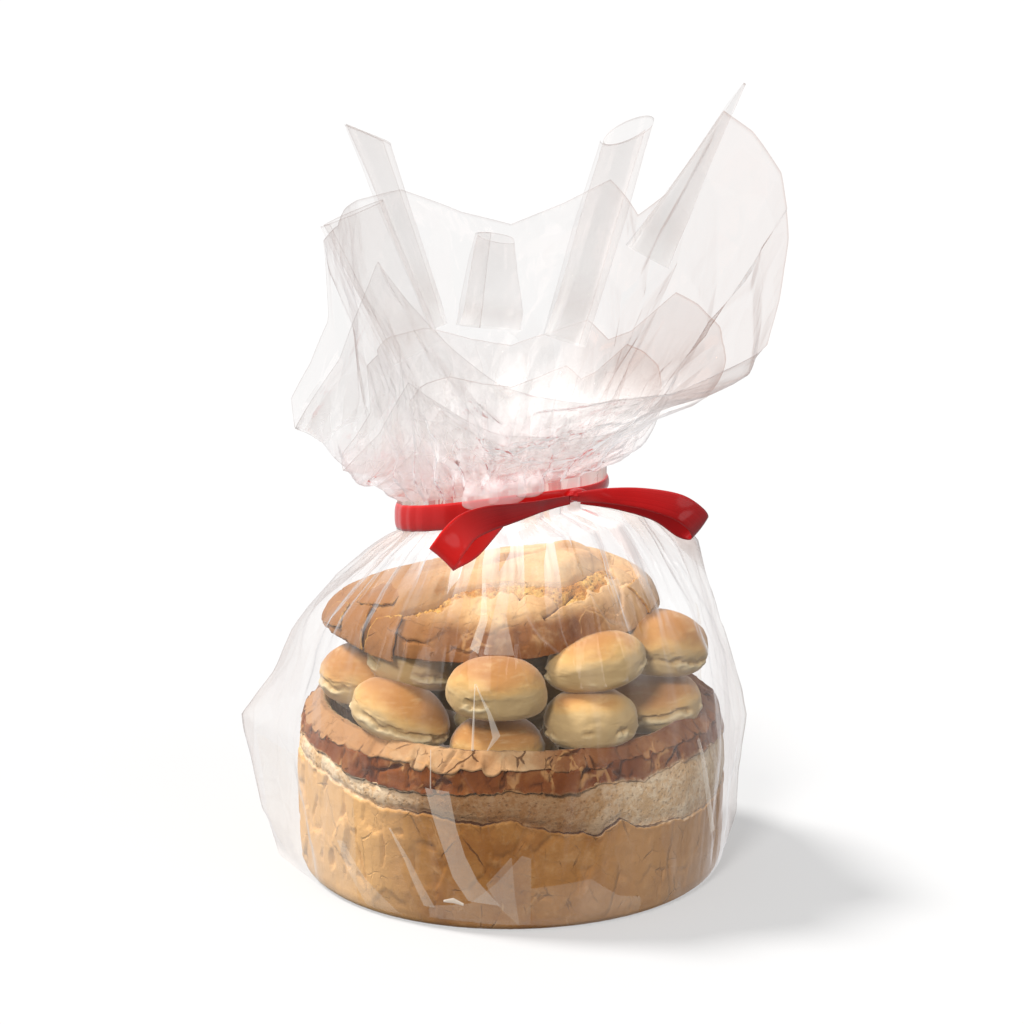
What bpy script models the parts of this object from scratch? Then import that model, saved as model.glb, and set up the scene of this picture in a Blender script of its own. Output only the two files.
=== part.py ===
"""A surprise bread loaf as it is given away: a round filled loaf sealed in a bag of clear film.

The bag is one solid, from the foot under the loaf to the ruffle of loose film above the tie. The
ribbon that ties its neck is the other piece. Metres, +Z up. The origin is under the loaf's axis, on
the surface that the bag stands on. The front faces -Y and +X is on the right.
"""

import math
import random

import bmesh
import bpy
from mathutils import Vector

TAU = 2 * math.pi
LEFT, RIGHT = math.pi, 0.0

# The bag round its contents, from the foot up: height, reach of the film where it lies round the
# loaf, the buns and the lid, and reach of the side folds of the flat bag on the left and the right.
BAG_STATIONS = (
    (0.000, 0.1275, 0.1440, 0.1285),
    (0.008, 0.1315, 0.1465, 0.1335),
    (0.030, 0.1335, 0.1550, 0.1395),
    (0.065, 0.1340, 0.1595, 0.1430),
    (0.092, 0.1335, 0.1640, 0.1440),
    (0.119, 0.1310, 0.1460, 0.1375),
    (0.146, 0.1255, 0.1330, 0.1300),
    (0.168, 0.1150, 0.1180, 0.1230),
    (0.190, 0.0985, 0.1040, 0.1130),
    (0.208, 0.0820, 0.0860, 0.0930),
)
BODY_ROWS = 15
CRUMPLE = 0.0008
CRUMPLE_FROM, CRUMPLE_TO = 0.012, 0.200

# The neck: a gathered ring, flatter from front to back than it is wide. It leans, because the
# ribbon sits higher on the right and a little higher in front.
NECK_X, NECK_Z = -0.0055, 0.229
NECK_RADIUS = 0.0590
NECK_HALF_HEIGHT = 0.0100
NECK_DEPTH_SHARE = 0.76
NECK_RISE_RIGHT, NECK_RISE_FRONT = 0.167, 0.110
NECK_FADES_BELOW, NECK_FADES_ABOVE = 0.080, 0.110

# Pleats of the gathered film, and how deep they are at the neck, below it and above it.
PLEATS = 24
COLUMNS_PER_PLEAT = 4
NECK_DEPTH = 0.0045
DRAPE_DEPTH = 0.0028
DRAPE_FADES_AT = 0.105
RUFFLE_DEPTH = 0.0075
HEM_DEPTH = 0.0030

# The hem of the ruffle, once round from the left: direction in degrees, reach and height.
# The high points are the corners of the film, and the low ones are the sags between them.
HEM = (
    (-180, 0.112, 0.395),
    (-172, 0.112, 0.345),
    (-166, 0.134, 0.288),
    (-156, 0.110, 0.330),
    (-140, 0.100, 0.385),
    (-118, 0.098, 0.352),
    (-92, 0.104, 0.318),
    (-66, 0.110, 0.302),
    (-44, 0.128, 0.304),
    (-22, 0.152, 0.334),
    (-6, 0.160, 0.386),
    (6, 0.158, 0.420),
    (15, 0.150, 0.446),
    (23, 0.155, 0.473),
    (33, 0.118, 0.425),
    (43, 0.104, 0.384),
    (49, 0.131, 0.458),
    (59, 0.118, 0.454),
    (73, 0.112, 0.388),
    (90, 0.111, 0.378),
    (106, 0.113, 0.390),
    (122, 0.117, 0.406),
    (131, 0.120, 0.432),
    (140, 0.128, 0.447),
    (150, 0.117, 0.420),
    (162, 0.109, 0.400),
)
RUFFLE_ROWS = 13
RUFFLE_OUT, RUFFLE_UP = 0.82, 1.12
FILM_WALL = 0.0013
FUNNEL_ROW = 2
FUNNEL_DEPTH = 0.004

# The ribbon.
RIBBON_WIDTH = 0.016
RIBBON_THICKNESS = 0.0009
RIBBON_CLEARANCE = 0.0006
RING_STEPS = 64
KNOT_SIZE = (0.0066, 0.0050, 0.0048)
KNOT_OUT = 0.0046
KNOT_DIRECTION = math.radians(-49)
PINCH_DIRECTION = math.radians(-24)
PINCH_ANGLE = math.radians(75)
PINCHED_WIDTH = 0.0060

FILM_COLOUR = (0.93, 0.92, 0.92, 1)
RIBBON_COLOUR = (0.62, 0.02, 0.035, 1)


def clear_scene():
    for obj in list(bpy.data.objects):
        bpy.data.objects.remove(obj, do_unlink=True)


def new_collection(name):
    collection = bpy.data.collections.new(name)
    bpy.context.scene.collection.children.link(collection)
    return collection


def material(name, colour, roughness, alpha=1.0):
    made = bpy.data.materials.new(name)
    made.use_nodes = True
    shader = made.node_tree.nodes["Principled BSDF"]
    shader.inputs["Base Color"].default_value = colour
    shader.inputs["Roughness"].default_value = roughness
    shader.inputs["Metallic"].default_value = 0.0
    shader.inputs["Alpha"].default_value = alpha
    return made


def mesh_object(name, collection, bm):
    """The bmesh as an object, with its faces turned outwards."""
    bmesh.ops.recalc_face_normals(bm, faces=bm.faces)
    mesh = bpy.data.meshes.new(name)
    bm.to_mesh(mesh)
    bm.free()
    obj = bpy.data.objects.new(name, mesh)
    collection.objects.link(obj)
    return obj


def mix(a, b, share):
    return a + (b - a) * share


def fade(value, start, end):
    """0 before start and 1 after end, smooth between."""
    share = min(1.0, max(0.0, (value - start) / (end - start)))
    return share * share * (3 - 2 * share)


def read_stations(stations, at):
    """The values at a height or a direction, straight between the two nearest stations."""
    for low, high in zip(stations, stations[1:]):
        if at <= high[0]:
            share = (at - low[0]) / (high[0] - low[0])
            return [mix(a, b, share) for a, b in zip(low[1:], high[1:])]
    return list(stations[-1][1:])


def angle_between(a, b):
    return abs((a - b + math.pi) % TAU - math.pi)


def pleat_phase(angle):
    """Pleats passed on the way round, unevenly wide as in gathered film."""
    return PLEATS * angle / TAU + 0.30 * math.sin(3 * angle + 0.8) + 0.16 * math.sin(8 * angle + 2.1)


def pleat(angle):
    """1 on a ridge of the gathered film and -1 in a valley."""
    return 4 * abs(pleat_phase(angle) % 1 - 0.5) - 1


def angle_at_phase(phase):
    low, high = -1.0, TAU + 1.0
    for _ in range(40):
        middle = (low + high) / 2
        low, high = (middle, high) if pleat_phase(middle) < phase else (low, middle)
    return low


def column_angles():
    """Directions of the columns. They fall on the ridges, the valleys and the points of the hem."""
    count = PLEATS * COLUMNS_PER_PLEAT
    start = math.ceil(pleat_phase(0.0) * COLUMNS_PER_PLEAT) / COLUMNS_PER_PLEAT
    angles = [angle_at_phase(start + step / COLUMNS_PER_PLEAT) for step in range(count)]
    for degrees, _, _ in HEM:
        direction = math.radians(degrees) % TAU
        nearest = min(range(count), key=lambda i: angle_between(angles[i], direction))
        angles[nearest] = direction
    return angles


def fold_reach(angle, girth, fold_at, fold):
    """Reach of film that lies on a circle and runs straight from it to a fold that stands out."""
    touch = math.acos(min(1.0, girth / fold))
    off = angle_between(angle, fold_at)
    return girth / math.cos(touch - off) if off < touch else girth


def near_neck(z):
    """1 at the height of the neck, fading to 0 below it and above it."""
    end = NECK_FADES_BELOW if z < NECK_Z else NECK_FADES_ABOVE
    return 1 - fade(abs(z - NECK_Z), NECK_HALF_HEIGHT, end)


def at_reach(angle, reach, z, axis_x=0.0):
    """The point that far from the axis in plan, with the neck's flatness and its lean."""
    near = near_neck(z)
    x = axis_x + reach * math.cos(angle)
    y = reach * math.sin(angle) * mix(1, NECK_DEPTH_SHARE, near)
    rise = NECK_RISE_RIGHT * (x - NECK_X) - NECK_RISE_FRONT * y
    return Vector((x, y, z + near * rise))


def body_point(angle, z, crumple):
    girth, left, right = read_stations(BAG_STATIONS, z)
    reach = max(
        fold_reach(angle, girth, LEFT, left),
        fold_reach(angle, girth, RIGHT, right),
    )
    depth = DRAPE_DEPTH * fade(z, DRAPE_FADES_AT, BAG_STATIONS[-1][0])
    return at_reach(angle, reach + crumple + depth * pleat(angle), z)


def neck_point(angle, height):
    """A point of the gathered neck, that far above or below the middle of the tie."""
    return at_reach(angle, NECK_RADIUS + NECK_DEPTH * pleat(angle), NECK_Z + height, NECK_X)


def ruffle_point(angle, share):
    """A point of the loose film above the tie, from 0 at the neck to 1 at the hem."""
    degrees = math.degrees(angle)
    turned = (degrees - HEM[0][0]) % 360 + HEM[0][0]
    closed = (*HEM, (HEM[0][0] + 360, *HEM[0][1:]))
    hem_reach, hem_height = read_stations(closed, turned)
    start = NECK_Z + NECK_HALF_HEIGHT
    depth = mix(NECK_DEPTH, RUFFLE_DEPTH, fade(share, 0, 0.35))
    depth = mix(depth, HEM_DEPTH, fade(share, 0.45, 1))
    reach = mix(NECK_RADIUS, hem_reach, share**RUFFLE_OUT) + depth * pleat(angle)
    z = mix(start, hem_height, share**RUFFLE_UP)
    return at_reach(angle, reach, z, mix(NECK_X, 0, share))


def outer_rows(angles):
    """Rings of points up the outside of the bag, from its foot to the hem."""
    draw = random.Random(11)
    rows = []
    top = BAG_STATIONS[-1][0]
    for row in range(BODY_ROWS):
        z = BAG_STATIONS[1][0] + (top - BAG_STATIONS[1][0]) * (row - 1) / (BODY_ROWS - 2)
        z = max(0.0, z)
        loose = CRUMPLE if CRUMPLE_FROM < z < CRUMPLE_TO else 0.0
        rows.append([body_point(a, z, draw.uniform(-loose, loose)) for a in angles])
    for height in (-NECK_HALF_HEIGHT, 0.0, NECK_HALF_HEIGHT):
        rows.append([neck_point(a, height) for a in angles])
    for row in range(1, RUFFLE_ROWS + 1):
        rows.append([ruffle_point(a, row / RUFFLE_ROWS) for a in angles])
    return rows


def wall_side(rows, row, column):
    """The film's outward direction at a point of the ruffle."""
    ring = rows[row]
    around = ring[(column + 1) % len(ring)] - ring[column - 1]
    above = rows[min(row + 1, len(rows) - 1)][column]
    up = above - rows[row - 1][column]
    return around.cross(up).normalized()


def inner_rows(rows):
    """The inside of the ruffle, one film wall in, from the hem down to the funnel's floor."""
    hem = len(rows) - 1
    lowest = hem - RUFFLE_ROWS + FUNNEL_ROW
    made = []
    for row in range(hem, lowest - 1, -1):
        sides = [wall_side(rows, row, column) for column in range(len(rows[row]))]
        made.append([p - side * FILM_WALL for p, side in zip(rows[row], sides)])
    return made


def skin_between(bm, lower, upper):
    count = len(lower)
    for i in range(count):
        j = (i + 1) % count
        bm.faces.new((lower[i], lower[j], upper[j], upper[i]))


def funnel_floor(bm, ring):
    """The bottom of the hollow in the ruffle, where the gathered film fills the neck."""
    middle = sum((v.co for v in ring), Vector()) / len(ring)
    tip = bm.verts.new(middle - Vector((0, 0, FUNNEL_DEPTH)))
    for i in range(len(ring)):
        bm.faces.new((ring[i], ring[(i + 1) % len(ring)], tip))


def build_bag(collection):
    """One closed surface: up the outside to the hem, over it, and down inside the ruffle."""
    angles = column_angles()
    outside = outer_rows(angles)
    inside = inner_rows(outside)
    bm = bmesh.new()
    rings = [[bm.verts.new(p) for p in row] for row in outside + inside]
    for lower, upper in zip(rings, rings[1:]):
        skin_between(bm, lower, upper)
    bm.faces.new(rings[0])
    funnel_floor(bm, rings[-1])
    bag = mesh_object("bag", collection, bm)
    bag.data.materials.append(material("clear_film", FILM_COLOUR, 0.08, 0.35))
    return bag


def smooth_path(points, steps):
    """A Catmull-Rom curve through the points, as that many steps between each two."""
    ends = [points[0] * 2 - points[1], *points, points[-1] * 2 - points[-2]]
    path = []
    for i in range(1, len(ends) - 2):
        a, b, c, d = ends[i - 1 : i + 3]
        for step in range(steps):
            t = step / steps
            path.append(
                0.5
                * (
                    2 * b
                    + (c - a) * t
                    + (2 * a - 5 * b + 4 * c - d) * t**2
                    + (3 * b - a - 3 * c + d) * t**3
                )
            )
    path.append(ends[-2])
    return path


def ribbon_band(name, collection, stations, steps):
    """A length of ribbon. Each station has a point, the direction across the band and its width."""
    points = smooth_path([Vector(at) for at, _, _ in stations], steps)
    across = smooth_path([Vector(side).normalized() for _, side, _ in stations], steps)
    widths = smooth_path([Vector((width, 0, 0)) for _, _, width in stations], steps)
    bm = bmesh.new()
    edges = []
    for point, side, width in zip(points, across, widths):
        half = side.normalized() * width.x / 2
        edges.append((bm.verts.new(point + half), bm.verts.new(point - half)))
    for (a, b), (c, d) in zip(edges, edges[1:]):
        bm.faces.new((a, c, d, b))
    return with_thickness(mesh_object(name, collection, bm), 0.0)


def with_thickness(obj, offset):
    solidify = obj.modifiers.new("Thickness", "SOLIDIFY")
    solidify.thickness = RIBBON_THICKNESS
    solidify.offset = offset
    solidify.use_even_offset = True
    return obj


def ring_reach():
    return NECK_RADIUS + NECK_DEPTH + RIBBON_CLEARANCE + RIBBON_THICKNESS / 2


def neck_ring(collection):
    """The turn of ribbon round the neck, pinched narrow where it runs out of the knot."""
    bm = bmesh.new()
    edges = []
    for step in range(RING_STEPS):
        angle = TAU * step / RING_STEPS
        pinch = 1 - fade(angle_between(angle, PINCH_DIRECTION), 0, PINCH_ANGLE)
        half = mix(RIBBON_WIDTH, PINCHED_WIDTH, pinch) / 2
        low = at_reach(angle, ring_reach(), NECK_Z, NECK_X) - Vector((0, 0, half))
        edges.append((bm.verts.new(low), bm.verts.new(low + Vector((0, 0, 2 * half)))))
    for i, (low, high) in enumerate(edges):
        next_low, next_high = edges[(i + 1) % len(edges)]
        bm.faces.new((low, next_low, next_high, high))
    return with_thickness(mesh_object("neck_ring", collection, bm), 0.0)


def knot(collection):
    centre = at_reach(KNOT_DIRECTION, ring_reach() + KNOT_OUT, NECK_Z, NECK_X)
    bm = bmesh.new()
    bmesh.ops.create_uvsphere(bm, u_segments=16, v_segments=10, radius=1.0)
    for vertex in bm.verts:
        vertex.co = centre + Vector([c * s for c, s in zip(vertex.co, KNOT_SIZE)])
    return mesh_object("knot", collection, bm)


def left_tail(collection):
    """The end that crosses the front to the left and curls under itself."""
    full = RIBBON_WIDTH
    stations = (
        ((0.0350, -0.0415, 0.2395), (0.00, -0.10, 1.00), 0.0060),
        ((0.0157, -0.0560, 0.2390), (-0.08, -0.15, 1.00), 0.0105),
        ((-0.0010, -0.0645, 0.2370), (-0.30, -0.12, 0.95), 0.0140),
        ((-0.0162, -0.0715, 0.2325), (-0.60, -0.05, 0.80), full),
        ((-0.0290, -0.0800, 0.2245), (-0.70, 0.05, 0.70), full),
        ((-0.0370, -0.0865, 0.2160), (-0.72, 0.08, 0.69), full),
        ((-0.0400, -0.0835, 0.2115), (-0.72, 0.08, 0.69), full),
        ((-0.0345, -0.0790, 0.2155), (-0.72, 0.08, 0.69), full),
        ((-0.0250, -0.0750, 0.2235), (-0.72, 0.05, 0.69), full),
        ((-0.0180, -0.0700, 0.2300), (-0.70, 0.00, 0.70), full),
    )
    return ribbon_band("left_tail", collection, stations, 5)


def right_ear(collection):
    """The loop on the right: out along the top, round its drooping end and back below."""
    full = RIBBON_WIDTH
    stations = (
        ((0.0390, -0.0430, 0.2405), (0.00, -0.20, 1.00), 0.0060),
        ((0.0560, -0.0500, 0.2430), (0.00, 0.25, 1.00), 0.0090),
        ((0.0780, -0.0530, 0.2420), (0.05, 0.50, 0.85), 0.0130),
        ((0.0980, -0.0530, 0.2370), (0.25, 0.50, 0.80), full),
        ((0.1090, -0.0515, 0.2290), (0.55, 0.40, 0.72), full),
        ((0.1110, -0.0480, 0.2225), (0.60, 0.20, 0.75), full),
        ((0.1020, -0.0455, 0.2240), (0.45, 0.00, 0.88), full),
        ((0.0850, -0.0460, 0.2330), (0.15, -0.15, 1.00), 0.0130),
        ((0.0620, -0.0465, 0.2380), (0.00, -0.20, 1.00), 0.0090),
        ((0.0410, -0.0430, 0.2390), (0.00, -0.20, 1.00), 0.0060),
    )
    return ribbon_band("right_ear", collection, stations, 5)


def build_ribbon(collection, helpers):
    """The ribbon's lengths and its knot, joined into one solid."""
    lengths = bpy.data.collections.new("ribbon_lengths")
    helpers.children.link(lengths)
    left_tail(lengths)
    right_ear(lengths)
    knot(lengths)
    ring = neck_ring(collection)
    ring.name = "ribbon"
    join = ring.modifiers.new("Join", "BOOLEAN")
    join.operation = "UNION"
    join.operand_type = "COLLECTION"
    join.collection = lengths
    join.solver = "EXACT"
    graph = bpy.context.evaluated_depsgraph_get()
    joined = bpy.data.meshes.new_from_object(ring.evaluated_get(graph))
    ring.modifiers.clear()
    ring.data = joined
    ring.data.materials.clear()
    ring.data.materials.append(material("red_ribbon", RIBBON_COLOUR, 0.22))
    for obj in list(lengths.objects):
        bpy.data.objects.remove(obj, do_unlink=True)
    bpy.data.collections.remove(lengths)
    return ring


def main():
    clear_scene()
    parts = new_collection("surprise_bread_loaf")
    helpers = new_collection("helpers")
    bag = build_bag(parts)
    build_ribbon(parts, helpers)
    bpy.data.collections.remove(helpers)
    bag.data.shade_smooth()
    bag.data.set_sharp_from_angle(angle=math.radians(25))


main()
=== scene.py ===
"""The looks of a surprise bread loaf: a hollowed round loaf heaped with mini buns under its cut lid.

It stands in a bag of clear film whose gathered neck is tied with a red gift ribbon. Metres, +Z up.
The origin is under the loaf's axis, the front faces -Y and +X is on the right.
"""

import math

import bmesh
import bpy
import numpy as np
from mathutils import Euler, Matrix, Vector


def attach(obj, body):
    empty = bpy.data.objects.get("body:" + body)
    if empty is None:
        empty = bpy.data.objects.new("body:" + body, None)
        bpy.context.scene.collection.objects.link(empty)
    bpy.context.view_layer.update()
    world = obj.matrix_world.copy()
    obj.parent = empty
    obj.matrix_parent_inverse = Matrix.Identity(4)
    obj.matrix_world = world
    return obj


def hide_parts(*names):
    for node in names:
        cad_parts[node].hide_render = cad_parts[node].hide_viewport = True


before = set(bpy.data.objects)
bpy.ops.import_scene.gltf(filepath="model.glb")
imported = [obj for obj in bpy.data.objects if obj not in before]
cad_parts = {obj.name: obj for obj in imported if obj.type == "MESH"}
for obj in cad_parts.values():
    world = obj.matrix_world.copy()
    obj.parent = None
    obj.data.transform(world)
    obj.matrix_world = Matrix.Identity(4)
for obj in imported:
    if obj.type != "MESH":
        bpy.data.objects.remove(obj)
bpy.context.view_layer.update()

TAU = 2 * math.pi

# The camera.
CAMERA_PLACE = (0.0006, -1.8841, 0.7041)
CAMERA_PITCH = math.radians(75.6)
CAMERA_LENS, CAMERA_SENSOR, CAMERA_SEES_TO = 113.03, 36, 20

# The suns: direction, strength and how wide each looks in degrees.
SUNS = {
    "key": ((0.94, -0.30, -1.17), 3.7, 14),
    "fill": ((0.30, 0.74, -0.61), 1.65, 12),
    "side": ((-0.70, 0.60, -0.40), 0.4, 40),
}

# How bright the sky is above and below, and how bright it is where film and ribbon mirror it.
SKY_STRENGTH, SKY_BELOW = 0.32, 0.13
MIRRORED_SKY, MIRRORED_FRONT = 0.92, 0.20
MIRRORED_FRONT_WAY = (0.0, -0.98, 0.20)
SKY_COLOUR, SUN_COLOUR = (0.97, 0.98, 1.0, 1), (1.0, 0.985, 0.96)
FLOOR_COLOUR, FLOOR_GLOW, FLOOR_HALF = (0.375, 0.375, 0.378, 1), 0.43, 6

# Soft boxes that the film and the ribbon mirror: direction, half their angle and strength, and over
# how many degrees each fades at its rim.
SOFT_BOX_RIM = 3
SOFT_BOXES = (
    ((-1.0, -0.75, 0.90), 16, 1.0),
    ((0.9, -0.7, 1.0), 8, 1.2),
    ((-0.4, 0.8, 1.1), 14, 1.4),
    ((-0.55, -1.0, 0.35), 4, 0.6),
    ((0.66, -0.67, 0.33), 6, 1.6),
)

# The loaf, turned round the Z axis: height and reach of its side, from the foot to the shoulder.
LOAF_SIDE = (
    (0.0006, 0.1248),
    (0.0030, 0.1278),
    (0.0080, 0.1292),
    (0.0200, 0.1303),
    (0.0500, 0.1306),
    (0.0780, 0.1299),
    (0.0900, 0.1288),
    (0.1000, 0.1262),
)
LOAF_RIM, LOAF_RIM_REACH = 0.1065, 0.1175
LOAF_BEVEL = 0.0985
LOAF_PLATES, LOAF_REACH = 54, 0.127
HOLLOW_REACH, HOLLOW_FOOT_REACH, HOLLOW_FLOOR = 0.1125, 0.1020, 0.050
LOAF_COLUMNS = 760

# Rings of points up the side, the burst, the shoulder and the bevel and down the hollow.
SIDE_RINGS, BURST_RINGS, SHOULDER_RINGS, BEVEL_RINGS, HOLLOW_RINGS = 44, 26, 14, 11, 12

# How soft the burst's edges are in millimetres where a crack is shut, and where it is open.
LOWER_SHUT, UPPER_SHUT, OPEN_EDGE = 1.6, 3.4, 0.25

# The loaf's front, where the finish paints shade on the burst and away from which it paints light on the
# side crust, and its right side: direction in degrees, and from where to where each fades.
# Then the direction where its side has the fewest plates.
FRONT_AT, FRONT_FADES = -92, (14, 42)
RIGHT_AT, RIGHT_FADES = -10, (62, 78)
FEWEST_PLATES_AT = 15

# The two cracks where the loaf burst open round its side: direction in degrees, height of the upper
# and the lower one, and how open each is.
BURST_CRACKS = (
    (-180, 0.0880, 0.0760, 0.5, 0.3),
    (-149, 0.0890, 0.0765, 0.7, 0.3),
    (-135, 0.0840, 0.0715, 1.0, 0.3),
    (-126, 0.0830, 0.0690, 1.0, 0.4),
    (-113, 0.0830, 0.0705, 1.0, 0.8),
    (-99, 0.0850, 0.0660, 0.9, 1.0),
    (-90, 0.0865, 0.0690, 0.6, 0.6),
    (-80, 0.0850, 0.0615, 0.7, 0.7),
    (-72, 0.0838, 0.0587, 0.7, 0.9),
    (-67, 0.0870, 0.0560, 0.3, 1.0),
    (-60, 0.0870, 0.0637, 0.2, 0.9),
    (-53, 0.0843, 0.0550, 0.2, 0.8),
    (-46, 0.0875, 0.0555, 0.1, 0.7),
    (-35, 0.0890, 0.0520, 0.2, 0.6),
    (-15, 0.0865, 0.0540, 0.5, 0.5),
    (20, 0.0850, 0.0570, 0.9, 0.6),
    (60, 0.0870, 0.0620, 0.6, 0.9),
    (100, 0.0845, 0.0600, 0.9, 0.5),
    (140, 0.0860, 0.0670, 0.7, 0.8),
)

# The lid: middle of its cut face, half its width and depth, its height and its lean.
LID_MIDDLE = (-0.012, 0.008, 0.1635)
LID_HALF = (0.104, 0.097)
LID_HEIGHT = 0.040
LID_LEAN_RIGHT, LID_LEAN_FRONT = 0.048, 0.107
LID_BEND, LID_BENDS_FROM = 0.21, -0.036
LID_HOLLOW, LID_ROUNDNESS, LID_TIP = 0.010, 0.80, 0.004
LID_COLUMNS, LID_ROWS = 440, 130

# The torn crack over the lid, from the left to the right, as seen from above: x and y from its middle.
LID_CRACK = (
    (-0.0560, -0.0700),
    (-0.0487, -0.0692),
    (-0.0405, -0.0699),
    (-0.0323, -0.0701),
    (-0.0256, -0.0657),
    (-0.0189, -0.0602),
    (-0.0038, -0.0592),
    (0.0112, -0.0567),
    (0.0269, -0.0570),
    (0.0427, -0.0555),
    (0.0525, -0.0465),
    (0.0624, -0.0332),
    (0.0740, -0.0240),
)
LID_SIDE_CRACK = ((0.0494, -0.0600), (0.0425, -0.0699), (0.0384, -0.0753), (0.0302, -0.0820))
LID_CREASE = (
    (-0.0300, -0.0420),
    (0.0015, -0.0360),
    (0.0167, -0.0246),
    (0.0308, -0.0160),
    (0.0440, -0.0150),
    (0.0587, -0.0129),
    (0.0727, -0.0135),
    (0.0865, -0.0194),
    (0.0960, -0.0304),
)

# Plates of crust that stand off the lid: corners as direction and share of the way up the dome, lower
# left first and round by the right, and how far each corner stands off.
LID_FLAKES = (
    (((-135, -0.08), (-122, -0.14), (-123, 0.34), (-134, 0.28)), (0.0018, 0.0042, 0.0024, 0.0010)),
    (((-147, 0.02), (-135, -0.02), (-139, 0.36), (-153, 0.33)), (0.0012, 0.0034, 0.0018, 0.0008)),
    (((-163, 0.06), (-149, 0.10), (-153, 0.33), (-166, 0.30)), (0.0014, 0.0028, 0.0016, 0.0008)),
    (((-150, 0.34), (-131, 0.40), (-130, 0.66), (-155, 0.58)), (0.0020, 0.0014, 0.0006, 0.0008)),
    (((-26, 0.06), (-14, 0.10), (-15, 0.36), (-29, 0.34)), (0.0016, 0.0010, 0.0008, 0.0014)),
)

# Rings of such a plate, from the middle of its upper face over the edge to the middle of its lower one.
FLAKE_REACH = (0.05, 0.3, 0.55, 0.78, 0.92, 1.0, 1.0, 0.99, 0.9, 0.6, 0.3, 0.05)
FLAKE_DEPTH = (0, 0, 0, 0, 0, 0, 0.5, 1, 1, 1, 1, 1)
FLAKE_THICKNESS, FLAKE_COLUMNS, FLAKE_SQUARENESS = 0.0016, 96, 0.92

# The mini buns that show: middle, size, turn about Z and tilt about Y and X in degrees, and how dark
# each is baked. The paler bake of the two right-hand front buns is partly painted light, and the darker
# bake of the far left one partly painted shade.
BUNS = {
    "bun_front_top": ((-0.0087, -0.0945, 0.1390), (0.0600, 0.055, 0.0320), 4, 1, 0, 0.0),
    "bun_front_low": ((-0.0085, -0.0850, 0.0995), (0.0555, 0.052, 0.0350), 0, 0, -4, 0.20),
    "bun_left_front": ((-0.0650, -0.0700, 0.1168), (0.0620, 0.055, 0.0290), -28, 18, -4, 0.0),
    "bun_far_left": ((-0.0885, -0.0280, 0.1270), (0.0540, 0.060, 0.0325), 20, 2, 0, 0.22),
    "bun_left_back": ((-0.0560, -0.0430, 0.1425), (0.0600, 0.056, 0.0330), 10, 12, 0, -0.2),
    "bun_right_top": ((0.0496, -0.0705, 0.1482), (0.0600, 0.054, 0.0290), 14, -8, 0, -0.22),
    "bun_right_low": ((0.0463, -0.0830, 0.1172), (0.0550, 0.054, 0.0310), 8, -3, 0, -0.38),
    "bun_far_right_top": ((0.0880, -0.0280, 0.1465), (0.0620, 0.060, 0.0350), 20, 6, 0, 0.05),
    "bun_far_right_low": ((0.0850, -0.0310, 0.1108), (0.0610, 0.057, 0.0300), 10, -8, 0, 0.12),
}

# The hidden buns: their size, reach and height of the rows at the back, in the middle and on the
# hollow's floor, and how finely buns that show and hidden ones are divided.
BUN_SIZE = (0.060, 0.056, 0.0340)
BACK_LOW, BACK_HIGH = (0.0840, 0.1110), (0.0830, 0.1340)
CORE_LOW, CORE_HIGH = (0.034, 0.1080), (0.030, 0.1430)
FLOOR_REACH, FLOOR_HEIGHT = 0.071, 0.0700
FINE_BUN, PLAIN_BUN = 6, 5

# The bag, as its solid has it: height, reach round the contents, and reach of the side folds of the
# flat bag on the left and the right.
BAG_STATIONS = (
    (0.000, 0.1275, 0.1440, 0.1285),
    (0.008, 0.1315, 0.1465, 0.1335),
    (0.030, 0.1335, 0.1550, 0.1395),
    (0.065, 0.1340, 0.1595, 0.1430),
    (0.092, 0.1335, 0.1640, 0.1440),
    (0.119, 0.1310, 0.1460, 0.1375),
    (0.146, 0.1255, 0.1330, 0.1300),
    (0.168, 0.1150, 0.1180, 0.1230),
    (0.190, 0.0985, 0.1040, 0.1130),
    (0.208, 0.0820, 0.0860, 0.0930),
)
NECK_X, NECK_Z = -0.0055, 0.229
NECK_RADIUS = 0.0590
NECK_HALF_HEIGHT = 0.0100
NECK_DEPTH_SHARE = 0.76
NECK_RISE_RIGHT, NECK_RISE_FRONT = 0.167, 0.110
NECK_FADES_BELOW, NECK_FADES_ABOVE = 0.080, 0.110

# Height of the film under the loaf, and the mean reach that turns directions into lengths of film.
BAG_FOOT, BAG_REACH, RUFFLE_REACH = 0.0003, 0.125, 0.105
BAG_COLUMNS, BAG_ROWS, NECK_ROWS = 540, 128, 9

# Pleats of the gathered film, large and fine: how many, and how deep at the neck and beyond it.
PLEATS = 24
NECK_DEPTH, DRAPE_DEPTH, DRAPE_FADES_AT = 0.0045, 0.0028, 0.105
RUFFLE_DEPTH, HEM_DEPTH = 0.0060, 0.0003
RUFFLE_OUT = 0.90
FINE_PLEATS, FINE_DEPTH = 118, 0.0008

# The hem of the open sheet of the ruffle: direction in degrees, reach and height. The corners that
# stand up out of it are rolled and made by themselves.
HEM = (
    (-180, 0.110, 0.386),
    (-177, 0.108, 0.340),
    (-172, 0.120, 0.318),
    (-167, 0.134, 0.302),
    (-161, 0.135, 0.288),
    (-152, 0.113, 0.326),
    (-140, 0.100, 0.385),
    (-118, 0.098, 0.352),
    (-92, 0.104, 0.318),
    (-66, 0.110, 0.302),
    (-44, 0.128, 0.304),
    (-22, 0.159, 0.336),
    (-6, 0.164, 0.388),
    (6, 0.162, 0.424),
    (15, 0.150, 0.446),
    (22, 0.138, 0.457),
    (33, 0.113, 0.405),
    (43, 0.106, 0.390),
    (58, 0.117, 0.408),
    (73, 0.112, 0.392),
    (90, 0.111, 0.378),
    (106, 0.113, 0.386),
    (125, 0.119, 0.402),
    (140, 0.124, 0.398),
    (150, 0.117, 0.396),
    (162, 0.109, 0.390),
)

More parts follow.
